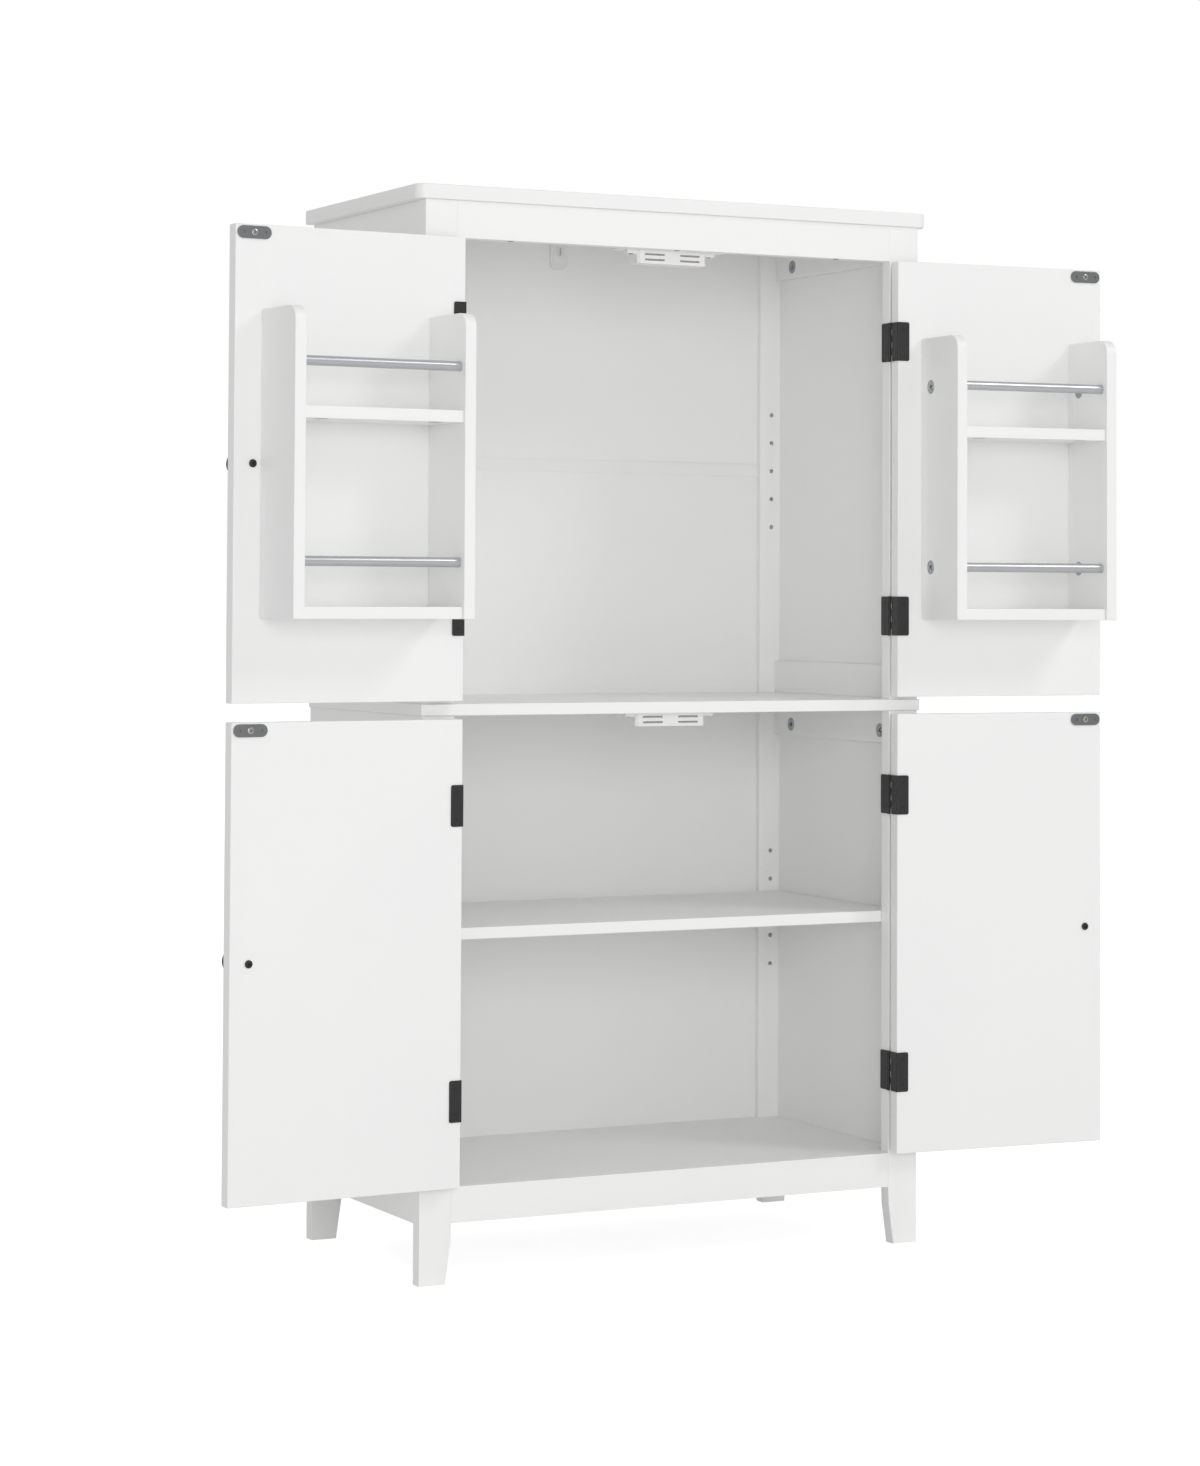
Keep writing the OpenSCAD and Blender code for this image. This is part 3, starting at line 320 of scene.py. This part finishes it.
# %% Studio paper
matt, floor_tree, floor_place = new_finish("matt_studio_paper")
paper = add(floor_tree, "ShaderNodeTexNoise", {"Vector": (floor_place, "Object"), "Scale": per(600)})
white = add(floor_tree, "ShaderNodeMix", {0: (paper, "Fac"), MIX_A: srgb("#fbfbfb"),
                                          MIX_B: srgb("#f8f8f8")}, data_type="RGBA")
seen = add(floor_tree, "ShaderNodeLightPath")
shine = add(floor_tree, "ShaderNodeMapRange", {"Value": (seen, "Is Camera Ray"),
                                               "To Min": 0.0, "To Max": FLOOR_SEEN})
sheet = add(floor_tree, "ShaderNodeBsdfPrincipled", {"Base Color": (white, MIX_OUT), "Roughness": 0.9,
                                                     "Emission Color": (1, 1, 1, 1),
                                                     "Emission Strength": (shine, "Result")})
add(floor_tree, "ShaderNodeOutputMaterial", {"Surface": (sheet, "BSDF")})
floor.data.materials.append(matt)
print("the floor is", FLOOR_SIZE, "m of", matt.name)

# %% [markdown]
# ## Putting a piece on its body
# A finished mesh needs the same few things each time: normals that point out, smooth faces with
# crisp creases, its finish, the body it moves with, and the CAD node that it stands for. The
# normals of large flat faces are made to win over those of thin edge strips, or a board would
# look like a pillow. That is what the Weighted Normal modifier does.


# %% Putting a piece on its body
def crease_angles(shape, angle=32):
    """Makes every face smooth and every edge that turns further than the angle a crisp one"""
    for face in shape.faces:
        face.smooth = True
    for edge in shape.edges:
        edge.smooth = len(edge.link_faces) == 2 and edge.calc_face_angle() < math.radians(angle)


def finish_piece(name, shape, node):
    """Turns a shape into a piece that stands for a CAD node, with its body, slot and finish"""
    crease_angles(shape)
    mesh = bpy.data.meshes.new(name)
    shape.to_mesh(mesh)
    shape.free()
    piece = bpy.data.objects.new(name, mesh)
    bpy.context.scene.collection.objects.link(piece)
    weighting = piece.modifiers.new("flat_faces_win", "WEIGHTED_NORMAL")
    weighting.keep_sharp = True
    mesh.materials.append(finishes[slot_of[node]])
    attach(piece, nodes[node]["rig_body"])
    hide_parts(node)
    return piece


# %% [markdown]
# ## Boards with sanded edges
# CAD cuts a board with knife edges. A real one has its edges broken with sandpaper before it is
# sprayed, and that small round is what catches the light along every door and shelf. The board
# could be drawn again, but then its pin holes and pockets would have to be drilled again too. So
# a copy of the CAD board is used: its loose triangles are merged, its flat faces are dissolved
# into whole ones, and its outline is bevelled. The rims of the drilled holes stay crisp, because
# only chains of sharp edges that have a long edge in them are rounded.


# %% Boards with sanded edges
def merged_copy(node):
    """A CAD node's mesh as clean, joined faces"""
    mesh = nodes[node].data.copy()
    for layer in [a for a in mesh.attributes if a.name == "custom_normal"]:
        mesh.attributes.remove(layer)
    shape = bmesh.new()
    shape.from_mesh(mesh)
    bpy.data.meshes.remove(mesh)
    bmesh.ops.remove_doubles(shape, verts=shape.verts, dist=0.002 * MM)
    bmesh.ops.dissolve_limit(shape, angle_limit=math.radians(0.5), verts=shape.verts, edges=shape.edges)
    return shape


def outlines(shape, long_edge):
    """Chains of sharp edges that have a long edge in them, so not the rims of drilled holes"""
    sharp = {e for e in shape.edges if len(e.link_faces) == 2 and e.calc_face_angle() > math.radians(50)}
    waiting = [e for e in sharp if e.calc_length() > long_edge]
    chosen = set(waiting)
    while waiting:
        near = {e for v in waiting.pop().verts for e in v.link_edges} & sharp - chosen
        chosen |= near
        waiting.extend(near)
    return sorted(chosen, key=lambda edge: edge.index)


def soften(node, name, radius, long_edge=12 * MM):
    """A copy of a CAD node with its outline rounded"""
    shape = merged_copy(node)
    shape.edges.index_update()
    bmesh.ops.bevel(shape, geom=outlines(shape, long_edge), offset=radius * MM, offset_type="OFFSET",
                    segments=3, profile=0.5, affect="EDGES", material=-1, clamp_overlap=False)
    return finish_piece(name, shape, node)


SIDES = ("left", "right")
TIERS = ("upper", "lower")
ENDS = ("front", "back")
sanded = {"top_panel": 1.2, "middle_panel": 1, "floor_panel": 0.8, "shelf": 1, "catch_block": 0.6,
          "top_front_rail": 0.5, "bottom_front_rail": 0.5}
sanded.update({f"upper_{side}_{end}_stile": 0.5 for side in SIDES for end in ENDS})
sanded.update({f"lower_{side}_{end}_leg": 0.5 for side in SIDES for end in ENDS})
sanded.update({f"{side}_side_rails": 0.5 for side in SIDES})
sanded.update({f"{tier}_{side}_side_panel": 0.4 for side in SIDES for tier in TIERS})
sanded.update({f"{tier}_{side}_door": 1 for side in SIDES for tier in TIERS})
sanded.update({f"{side}_rack_{part}": 0.8 for side in SIDES for part in ("sides", "shelves")})
for node, radius in sanded.items():
    soften(node, f"{node}_painted", radius)
print(len(sanded), "boards and sets of boards sanded and painted")

# %% [markdown]
# ## Pressed and moulded fittings
# The magnetic catches, the strips that join the back panels, the strike plates and the wall
# bracket come out of moulds and presses, which leave edges only a few tenths of a millimetre
# round. They are softened in the same way as the boards, with a smaller radius. The strike
# plates have short straight edges, so a chain counts as an outline from 4 mm on.

# %% Pressed and moulded fittings
pressed = {"back_panels": 0.2, "back_joint_strips": 0.3, "catch_housings": 0.35, "catch_pole_plates": 0.15,
           "catch_magnets": 0.2, "wall_bracket": 0.25, "shelf_pins": 0.2}
pressed.update({f"{tier}_{side}_strike_plate": 0.4 for side in SIDES for tier in TIERS})
for node, radius in pressed.items():
    soften(node, f"{node}_finished", radius, long_edge=4 * MM)
print(len(pressed), "pressed and moulded fittings")

# %% [markdown]
# ## Where the small fittings go
# CAD has already placed every screw, lock and hinge, so their places are read from it: each
# solid of a node is boxed, and the box gives its middle, its size and which way it lies. The
# doors stand open and turned, which would make slanted boxes. So a door's fittings are boxed in
# the door's own frame, with the hinge axis at its origin, X towards the knob and Y towards the
# door's inner face, and come back through the same matrix.


# %% Where the small fittings go
joints = {joint["name"]: joint for joint in frame["record"]["behaviour"]["joints"]}
DOORS = [(tier, side) for tier in TIERS for side in SIDES]
MIRROR = Matrix.Diagonal((-1, 1, 1, 1))


def hinge_frame(side):
    """From the hinge axis of a closed left door to a side of the cabinet"""
    axis = joints[f"upper_{side}_door_hinge"]["pos_m"]
    place = Matrix.Translation((-abs(axis[0]), axis[1], 0))
    return MIRROR @ place if side == "right" else place


def door_frame(side):
    """The same, with the door swung open as it stands"""
    swing = math.radians(joints[f"upper_{side}_door_hinge"]["range_deg"][1])
    return hinge_frame(side) @ Matrix.Rotation(-swing, 4, "Z")


def solids(node, place=Matrix()):
    """The low corner, size and middle of each solid of a node, seen from a frame"""
    shape = merged_copy(node)
    shape.transform(place.inverted())
    waiting, boxes = set(shape.verts), []
    while waiting:
        group = [waiting.pop()]
        for vert in group:
            near = {e.other_vert(vert) for e in vert.link_edges} & waiting
            waiting -= near
            group.extend(near)
        low, high = (Vector([pick(v.co[i] for v in group) for i in range(3)]) for pick in (min, max))
        boxes.append((low, high - low, (low + high) / 2))
    shape.free()
    return sorted(boxes, key=lambda box: tuple(round(c, 5) for c in box[2]))


strike = solids("upper_left_strike_plate", door_frame("left"))[0]
print("a strike plate is", [round(c / MM, 1) for c in strike[1]], "mm")

# %% [markdown]
# ## Turned shapes
# Knobs, rods, pins and the shanks of screws are turned on a lathe. In mesh code that is a
# circle whose rim is pulled out again and again: each pull gives a new ring, which is set to
# the radius and the height of the next point of the profile. It does what a spin of a profile
# does, but it can also start from a rim that isn't a plain disc, such as a screw head with its
# recess already in it.


# %% Turned shapes
def pull(shape, edges):
    """Extrudes edges and gives the new ones, with their vertices"""
    grown = bmesh.ops.extrude_edge_only(shape, edges=edges)["geom"]
    verts = {g for g in grown if isinstance(g, bmesh.types.BMVert)}
    far = [g for g in grown if isinstance(g, bmesh.types.BMEdge) and set(g.verts) <= verts]
    return far, verts


def turned(shape, rim, profile):
    """Pulls a rim through rings of a radius and a height in mm, and closes the end"""
    for radius, height in profile:
        rim, verts = pull(shape, rim)
        for vert in verts:
            vert.co = (*(vert.co.xy.normalized() * radius * MM), height * MM)
    bmesh.ops.edgeloop_fill(shape, edges=rim)
    return shape


def disc(radius, segments=32):
    """A new shape with a flat disc, and the disc's rim"""
    shape = bmesh.new()
    bmesh.ops.create_circle(shape, cap_ends=True, segments=segments, radius=radius * MM)
    return shape, list(shape.edges)


def stamp(shape, fitting, place):
    """Adds a copy of a fitting to a shape"""
    before = set(shape.verts)
    shape.from_mesh(fitting)
    bmesh.ops.transform(shape, matrix=place, verts=[v for v in shape.verts if v not in before])


def pattern(shape):
    """Keeps a shape as a mesh that can be stamped"""
    mesh = bpy.data.meshes.new("pattern")
    bmesh.ops.recalc_face_normals(shape, faces=shape.faces)
    shape.to_mesh(mesh)
    shape.free()
    return mesh


def aimed(place, direction, roll=0):
    """Stands a fitting at a place with its top towards a direction"""
    turn = Vector(direction).to_track_quat("Z", "Y").to_matrix().to_4x4()
    return Matrix.Translation(place) @ turn @ Matrix.Rotation(math.radians(roll), 4, "Z")


def finish_metal(name, shape, node):
    """Finishes a piece made of closed shells, some of them mirrored"""
    bmesh.ops.recalc_face_normals(shape, faces=shape.faces)
    return finish_piece(name, shape, node)


# %% [markdown]
# ## Cross recesses
# A cross recess is punched with a pointed tool, so its floor is smaller than its mouth. A three
# by three grid gives the cross for free: its five middle cells are pushed down together and
# their floor is drawn in. The grid's square edge is then pulled out and rounded to a circle, and
# the circle's rim goes on to the lathe. A boolean cut would do it too, but it leaves long thin
# triangles that spoil the highlight on so small a head.


# %% Cross recesses
def cross_head(slot, rim_radius, segments):
    """A flat disc with a tapered cross recess of a length, width and depth, and the disc's rim"""
    length, width, depth = (size * MM for size in slot)
    shape = bmesh.new()
    bmesh.ops.create_grid(shape, x_segments=3, y_segments=3, size=1)
    for vert in shape.verts:
        for axis in (0, 1):
            reach = (length if abs(vert.co[axis]) > 0.5 else width) / 2
            vert.co[axis] = math.copysign(reach, vert.co[axis])
    arms = [f for f in shape.faces if min(abs(c) for c in f.calc_center_median().xy) < width / 4]
    sunk = bmesh.ops.extrude_face_region(shape, geom=arms)["geom"]
    bmesh.ops.delete(shape, geom=arms, context="FACES")
    bottom = [g for g in sunk if isinstance(g, bmesh.types.BMVert)]
    bmesh.ops.scale(shape, vec=(0.6, 0.6, 1), verts=bottom)
    bmesh.ops.translate(shape, vec=(0, 0, -depth), verts=bottom)
    square = [e for e in shape.edges if e.is_boundary]
    bmesh.ops.bisect_edges(shape, edges=square, cuts=segments // len(square) - 1)
    rim, verts = pull(shape, [e for e in shape.edges if e.is_boundary])
    around = sorted(verts, key=lambda v: (math.atan2(v.co.y, v.co.x) + 0.01) % math.tau)
    for number, vert in enumerate(around):
        angle = math.tau * number / segments
        vert.co = (rim_radius * MM * math.cos(angle), rim_radius * MM * math.sin(angle), 0)
    return shape, rim


def countersunk(head_r, shank_r, length, slot, crown):
    """A wood screw in a countersink at Z 0, whose oval head stands a crown's height proud"""
    flat_r = slot[0] / 2 + 0.15
    shape, rim = cross_head(slot, flat_r, 24)
    profile = [((flat_r + head_r) / 2, -crown / 6), (head_r - 0.1, -crown / 2), (head_r, -crown),
               (shank_r, -crown - head_r + shank_r), (shank_r, -length + 2), (0.3, -length)]
    turned(shape, rim, profile)
    bmesh.ops.translate(shape, vec=(0, 0, crown * MM), verts=shape.verts)
    return pattern(shape)


# The closed leaves of a hinge lie 0.3 mm apart, so the heads between them are nearly flush
flush_screw = countersunk(2.5, 1.4, 12, (2.8, 0.7, 0.8), 0.12)
small_screw = countersunk(2.5, 1.4, 12, (2.8, 0.7, 0.8), 0.35)
strike_screw = countersunk(3.2, 1.6, 12, (3.4, 0.9, 1.3), 0.5)
print("a small screw has", len(small_screw.polygons), "faces")

# %% [markdown]
# ## Screws in the frame
# The screws in the frame hold the hinge leaves, the catches' ears, the wall bracket and the top
# rail. Those of the leaves lie along X, with nearly flush heads towards the middle of the
# cabinet. All others stand, with their heads at the bottom, which is where a screwdriver can
# get at them. The longest of them are seated deep in the rail and have flat heads.

# %% Screws in the frame
RAIL_SCREW_FROM = 40 * MM

rail_shape, rail_rim = cross_head((3.6, 0.9, 1.2), 2.2, 24)
rail_profile = [(3.3, 0), (3.5, -0.2), (1.75, -2), (1.75, -44), (0.3, -47)]
rail_screw = pattern(turned(rail_shape, rail_rim, rail_profile))

frame_screws = bmesh.new()
for low, size, middle in solids("frame_screws"):
    if size.x > size.z:
        outwards = math.copysign(1, middle.x)
        inner = (middle.x - outwards * size.x / 2, middle.y, middle.z)
        stamp(frame_screws, flush_screw, aimed(inner, (-outwards, 0, 0), 45 * middle.z))
    else:
        kind = rail_screw if size.z > RAIL_SCREW_FROM else small_screw
        stamp(frame_screws, kind, aimed((middle.x, middle.y, low.z), (0, 0, -1), 30))
finish_metal("frame_screws_plated", frame_screws, "frame_screws")
print(len(solids("frame_screws")), "screws in the frame")

# %% [markdown]
# ## Cam locks
# A cam lock is a die-cast drum whose face shows a cross for the screwdriver inside a thin
# groove. No two are turned to quite the same angle once they are tightened, so each gets a
# turn of its own, worked out from its place: that looks random and is the same on every run.

# %% Cam locks
CAM_R = 7.4
drum_profile = [(6.2, 0), (6.35, -0.4), (6.75, -0.4), (6.9, 0), (7.2, 0), (CAM_R, -0.2),
                (CAM_R, -9.2), (CAM_R - 0.3, -9.5)]


def cam_locks(node, place, faces):
    """A node's cam locks: drums whose faces look where they are told, and their bolts"""
    drum = pattern(turned(*cross_head((8, 1.7, 2.2), 4.6, 36), drum_profile))
    shape = bmesh.new()
    for low, size, middle in solids(node, place):
        long_way = max(range(3), key=lambda i: size[i])
        if size[long_way] > 2.1 * CAM_R * MM:
            ahead = Vector([float(i == long_way) for i in range(3)])
            length = size[long_way] / MM
            bolt, rim = disc(2.7, 16)
            turned(bolt, rim, [(3, -0.3), (3, 0.3 - length), (2.7, -length)])
            stamp(shape, pattern(bolt), place @ aimed(middle + ahead * size[long_way] / 2, ahead))
            continue
        way = min(range(3), key=lambda i: size[i])
        facing = faces(middle, way)
        seat = middle + facing * size[way] / 2
        stamp(shape, drum, place @ aimed(seat, facing, 45 + 1000 * (middle.x + middle.z) % 37))
    return finish_metal(f"{node}_cast", shape, node)


def inwards(middle, way):
    """A frame's cam locks face the middle of the cabinet"""
    return Vector((-math.copysign(1, middle.x), 0, 0))


def to_hinge_or_down(middle, way):
    """A rack's cam locks face the hinges, or down where they sit under a shelf"""
    return Vector((-1, 0, 0)) if way == 0 else Vector((0, 0, -1))


cam_locks("frame_cam_locks", Matrix(), inwards)
for side in SIDES:
    cam_locks(f"{side}_rack_cam_locks", door_frame(side), to_hinge_or_down)
print("cam locks on the frame and on both racks")

# %% [markdown]
# ## Rail rods
# The rods across the racks are drawn aluminium, cut and lightly chamfered. Their ends sit in
# blind holes, so all that shows is a straight bright cylinder and the shadow where it enters
# the board.

# %% Rail rods
for side in SIDES:
    rods = bmesh.new()
    for low, size, middle in solids(f"{side}_rack_rods", door_frame(side)):
        radius, length = size.z / 2 / MM, size.x / MM
        rod, rim = disc(radius - 0.5, 40)
        turned(rod, rim, [(radius, -0.5), (radius, 0.5 - length), (radius - 0.5, -length)])
        stamp(rods, pattern(rod), door_frame(side) @ aimed(middle + Vector((size.x / 2, 0, 0)), (1, 0, 0)))
    finish_metal(f"{side}_rack_rods_drawn", rods, f"{side}_rack_rods")
print("two rods on each rack")

# %% [markdown]
# ## Knobs
# The knobs on the doors' outer faces are turned: a foot, a waist and a head with a shallow
# dome. The dome is part of a large sphere, so the profile takes its heights from the circle's
# equation, and a small round where it meets the side keeps a fingertip comfortable.

# %% Knobs
FOOT_R, FOOT_T, WAIST_R, DOME_R, HEAD_T = 8, 3, 6, 22, 10


def knob_profile(radius, length):
    """The turned profile of a knob, from its foot up"""
    neck = length - HEAD_T
    dome = [(r, length - DOME_R + math.sqrt(DOME_R**2 - r**2)) for r in (11.6, 10, 8, 6, 4, 2)]
    brow = dome[0][1]
    return [(FOOT_R, 0.4), (FOOT_R, FOOT_T - 0.6), (FOOT_R - 0.6, FOOT_T),
            (WAIST_R + 0.6, FOOT_T + 0.4), (WAIST_R, FOOT_T + 1.4), (WAIST_R, neck - 1.2),
            (WAIST_R + 0.8, neck), (radius - 1.2, neck + 0.2), (radius - 0.3, neck + 0.7),
            (radius, neck + 1.6), (radius, brow - 1.6), (radius - 0.4, brow - 0.6), *dome]


for tier, side in DOORS:
    low, size, middle = solids(f"{tier}_{side}_knob", door_frame(side))[0]
    shape, rim = disc(FOOT_R - 0.4, 48)
    turned(shape, rim, knob_profile(size.x / 2 / MM, size.y / MM))
    foot = Vector((middle.x, low.y + size.y, middle.z))
    bmesh.ops.transform(shape, matrix=door_frame(side) @ aimed(foot, (0, -1, 0)), verts=shape.verts)
    finish_metal(f"{tier}_{side}_knob_turned", shape, f"{tier}_{side}_knob")
print("four knobs of", round(size.x / MM), "mm")

# %% [markdown]
# ## Screws in the doors
# Every door holds the screws of its hinge leaves, the bolt of its knob, whose pan head shows on
# the inner face, and the brighter screw in the middle of its strike plate. The heads have three
# widths, which tell them apart. The bright screw is a piece of its own, for its finish.

# %% Screws in the doors
STRIKE_SCREW_FROM, KNOB_BOLT_FROM = 5.5 * MM, 7 * MM

pan_shape, pan_rim = cross_head((4, 1, 1.3), 2.3, 24)
pan_profile = [(3.1, -0.15), (3.7, -0.55), (4, -1.2), (4, -1.7), (3.8, -2), (2, -2), (2, -26.5),
               (1.7, -27)]
knob_bolt = pattern(turned(pan_shape, pan_rim, pan_profile))
for tier, side in DOORS:
    node = f"{tier}_{side}_door_screws"
    strike_shape = bmesh.new()
    shape = bmesh.new()
    for low, size, middle in solids(node, door_frame(side)):
        head = aimed((middle.x, low.y + size.y, middle.z), (0, 1, 0), 20 + 1000 * middle.z % 50)
        if size.x > KNOB_BOLT_FROM:
            stamp(shape, knob_bolt, door_frame(side) @ head)
        elif size.x > STRIKE_SCREW_FROM:
            stamp(strike_shape, strike_screw, door_frame(side) @ head)
        else:
            stamp(shape, small_screw, door_frame(side) @ head)
    finish_metal(f"{node}_plated", shape, node)
    screw = finish_metal(f"{tier}_{side}_strike_screw_plated", strike_shape, node)
    screw.data.materials[0] = finishes["nickel_steel"]
print("screws in four doors")

# %% [markdown]
# ## Hinge leaves
# A leaf is pressed from 1.1 mm sheet. It starts as an edge as tall as the hinge, cut into one
# length for each knuckle, and the edge is pulled out into a sheet. The door's leaf also goes
# round the door's edge, and a spin by a quarter turn makes that bend. Where the other leaf has
# its knuckles the sheet is cut away, and then it gets its thickness, its round corners and the
# small round that the press leaves along every edge.

# %% Hinge leaves
KNUCKLES, LEAF_T, LEAF_GAP, LEAF_CORNER = 6, 1.1, 0.15, 2
KNUCKLE_R, KNUCKLE_SLIT, BEND_R = 1.8, 0.15, 0.9
PIN_R, PIN_PROUD = 0.9, 0.4
# Room behind the other leaf's knuckles; the door's leaf is notched deeper, so the door shows
FRAME_ROOM, DOOR_ROOM = 0.9, 3.2


def barrel(radius, length, ease):
    """A turned barrel with eased ends, from Z 0 down"""
    shape, rim = disc(radius - ease, 24)
    turned(shape, rim, [(radius, -ease), (radius, ease - length), (radius - ease, -length)])
    return pattern(shape)


def leaf(height, reach, wrap, first, with_pin):
    """A hinge leaf, its hinge axis on Z and its middle at Z 0, that reaches along Y and wraps to X"""
    shape = bmesh.new()
    x = (1 if wrap else -1) * (LEAF_GAP + LEAF_T / 2) * MM
    notch = KNUCKLE_R + (DOOR_ROOM if wrap else FRAME_ROOM)
    ends = [shape.verts.new((x, 0, z)) for z in (-height / 2, height / 2)]
    shape.edges.new(ends)
    bmesh.ops.subdivide_edges(shape, edges=shape.edges, cuts=KNUCKLES - 1)
    edges, verts = pull(shape, list(shape.edges))
    bmesh.ops.translate(shape, vec=(0, notch * MM, 0), verts=list(verts))
    row = height / KNUCKLES
    others = [f for f in shape.faces
              if int((f.calc_center_median().z + height / 2) / row) % 2 != first]
    edges, verts = pull(shape, edges)
    for vert in verts:
        vert.co.y = reach - BEND_R * MM if wrap else reach
    if wrap:
        bend = bmesh.ops.spin(shape, geom=edges, cent=(x + BEND_R * MM, next(iter(verts)).co.y, 0),
                              axis=(0, 0, 1), angle=math.radians(-90), steps=5)["geom_last"]
        edges, verts = pull(shape, [g for g in bend if isinstance(g, bmesh.types.BMEdge)])
        for vert in verts:
            vert.co.x = wrap
    bmesh.ops.delete(shape, geom=others, context="FACES")
    corners = [v for v in verts if abs(v.co.z) > height / 2 - 0.01 * MM]
    bmesh.ops.bevel(shape, geom=corners, offset=LEAF_CORNER * MM, offset_type="OFFSET", segments=4,
                    profile=0.5, affect="VERTICES", material=-1)
    bmesh.ops.recalc_face_normals(shape, faces=shape.faces)
    shape.normal_update()
    for vert in shape.verts:
        vert.co += vert.normal * LEAF_T / 2 * MM
    bmesh.ops.solidify(shape, geom=shape.faces[:], thickness=LEAF_T * MM)
    bmesh.ops.recalc_face_normals(shape, faces=shape.faces)
    rims = [e for e in shape.edges if len(e.link_faces) == 2 and e.calc_face_angle() > math.radians(60)]
    bmesh.ops.bevel(shape, geom=rims, offset=0.2 * MM, offset_type="OFFSET", segments=2, profile=0.5,
                    affect="EDGES", material=-1, clamp_overlap=True)
    knuckle = barrel(KNUCKLE_R, row / MM - KNUCKLE_SLIT, 0.25)
    for number in range(first, KNUCKLES, 2):
        top = -height / 2 + (number + 1) * row - KNUCKLE_SLIT / 2 * MM
        stamp(shape, knuckle, Matrix.Translation((0, 0, top)))
    if with_pin:
        pin = barrel(PIN_R, height / MM + 2 * PIN_PROUD, 0.3)
        stamp(shape, pin, Matrix.Translation((0, 0, height / 2 + PIN_PROUD * MM)))
    return pattern(shape)


def place_leaves(name, node, places, first, with_pin):
    """Stamps a leaf at each hinge of a node. Solids that are pins or lie at the other side are left"""
    shape = bmesh.new()
    for place in places:
        for low, size, middle in solids(node, place):
            if size.y < 10 * MM or abs(low.x) > 50 * MM:
                continue
            reach = low.y + size.y - (LEAF_T / 2 * MM if with_pin else 0)
            wrap = low.x + size.x if with_pin else 0
            sheet = leaf(size.z, reach, wrap, first, with_pin)
            stamp(shape, sheet, place @ Matrix.Translation((0, 0, middle.z)))
    return finish_metal(name, shape, node)


both_sides = [hinge_frame(side) for side in SIDES]
place_leaves("frame_hinge_leaves_coated", "frame_hinge_leaves", both_sides, 0, False)
for tier, side in DOORS:
    node = f"{tier}_{side}_hinge_leaves"
    hinges = place_leaves(f"{node}_coated", node, [door_frame(side)], 1, True)
print("eight hinges, the last piece with", len(hinges.data.polygons), "faces")

# %% [markdown]
# ## The last carried-over node
# The dowels sit deep in their holes. Their CAD shape is right, so it stays and only gets its
# wood.

# %% Dowels
nodes["wooden_dowels"].material_slots[0].material = finishes["beech"]
print("the dowels are", finishes["beech"].name)
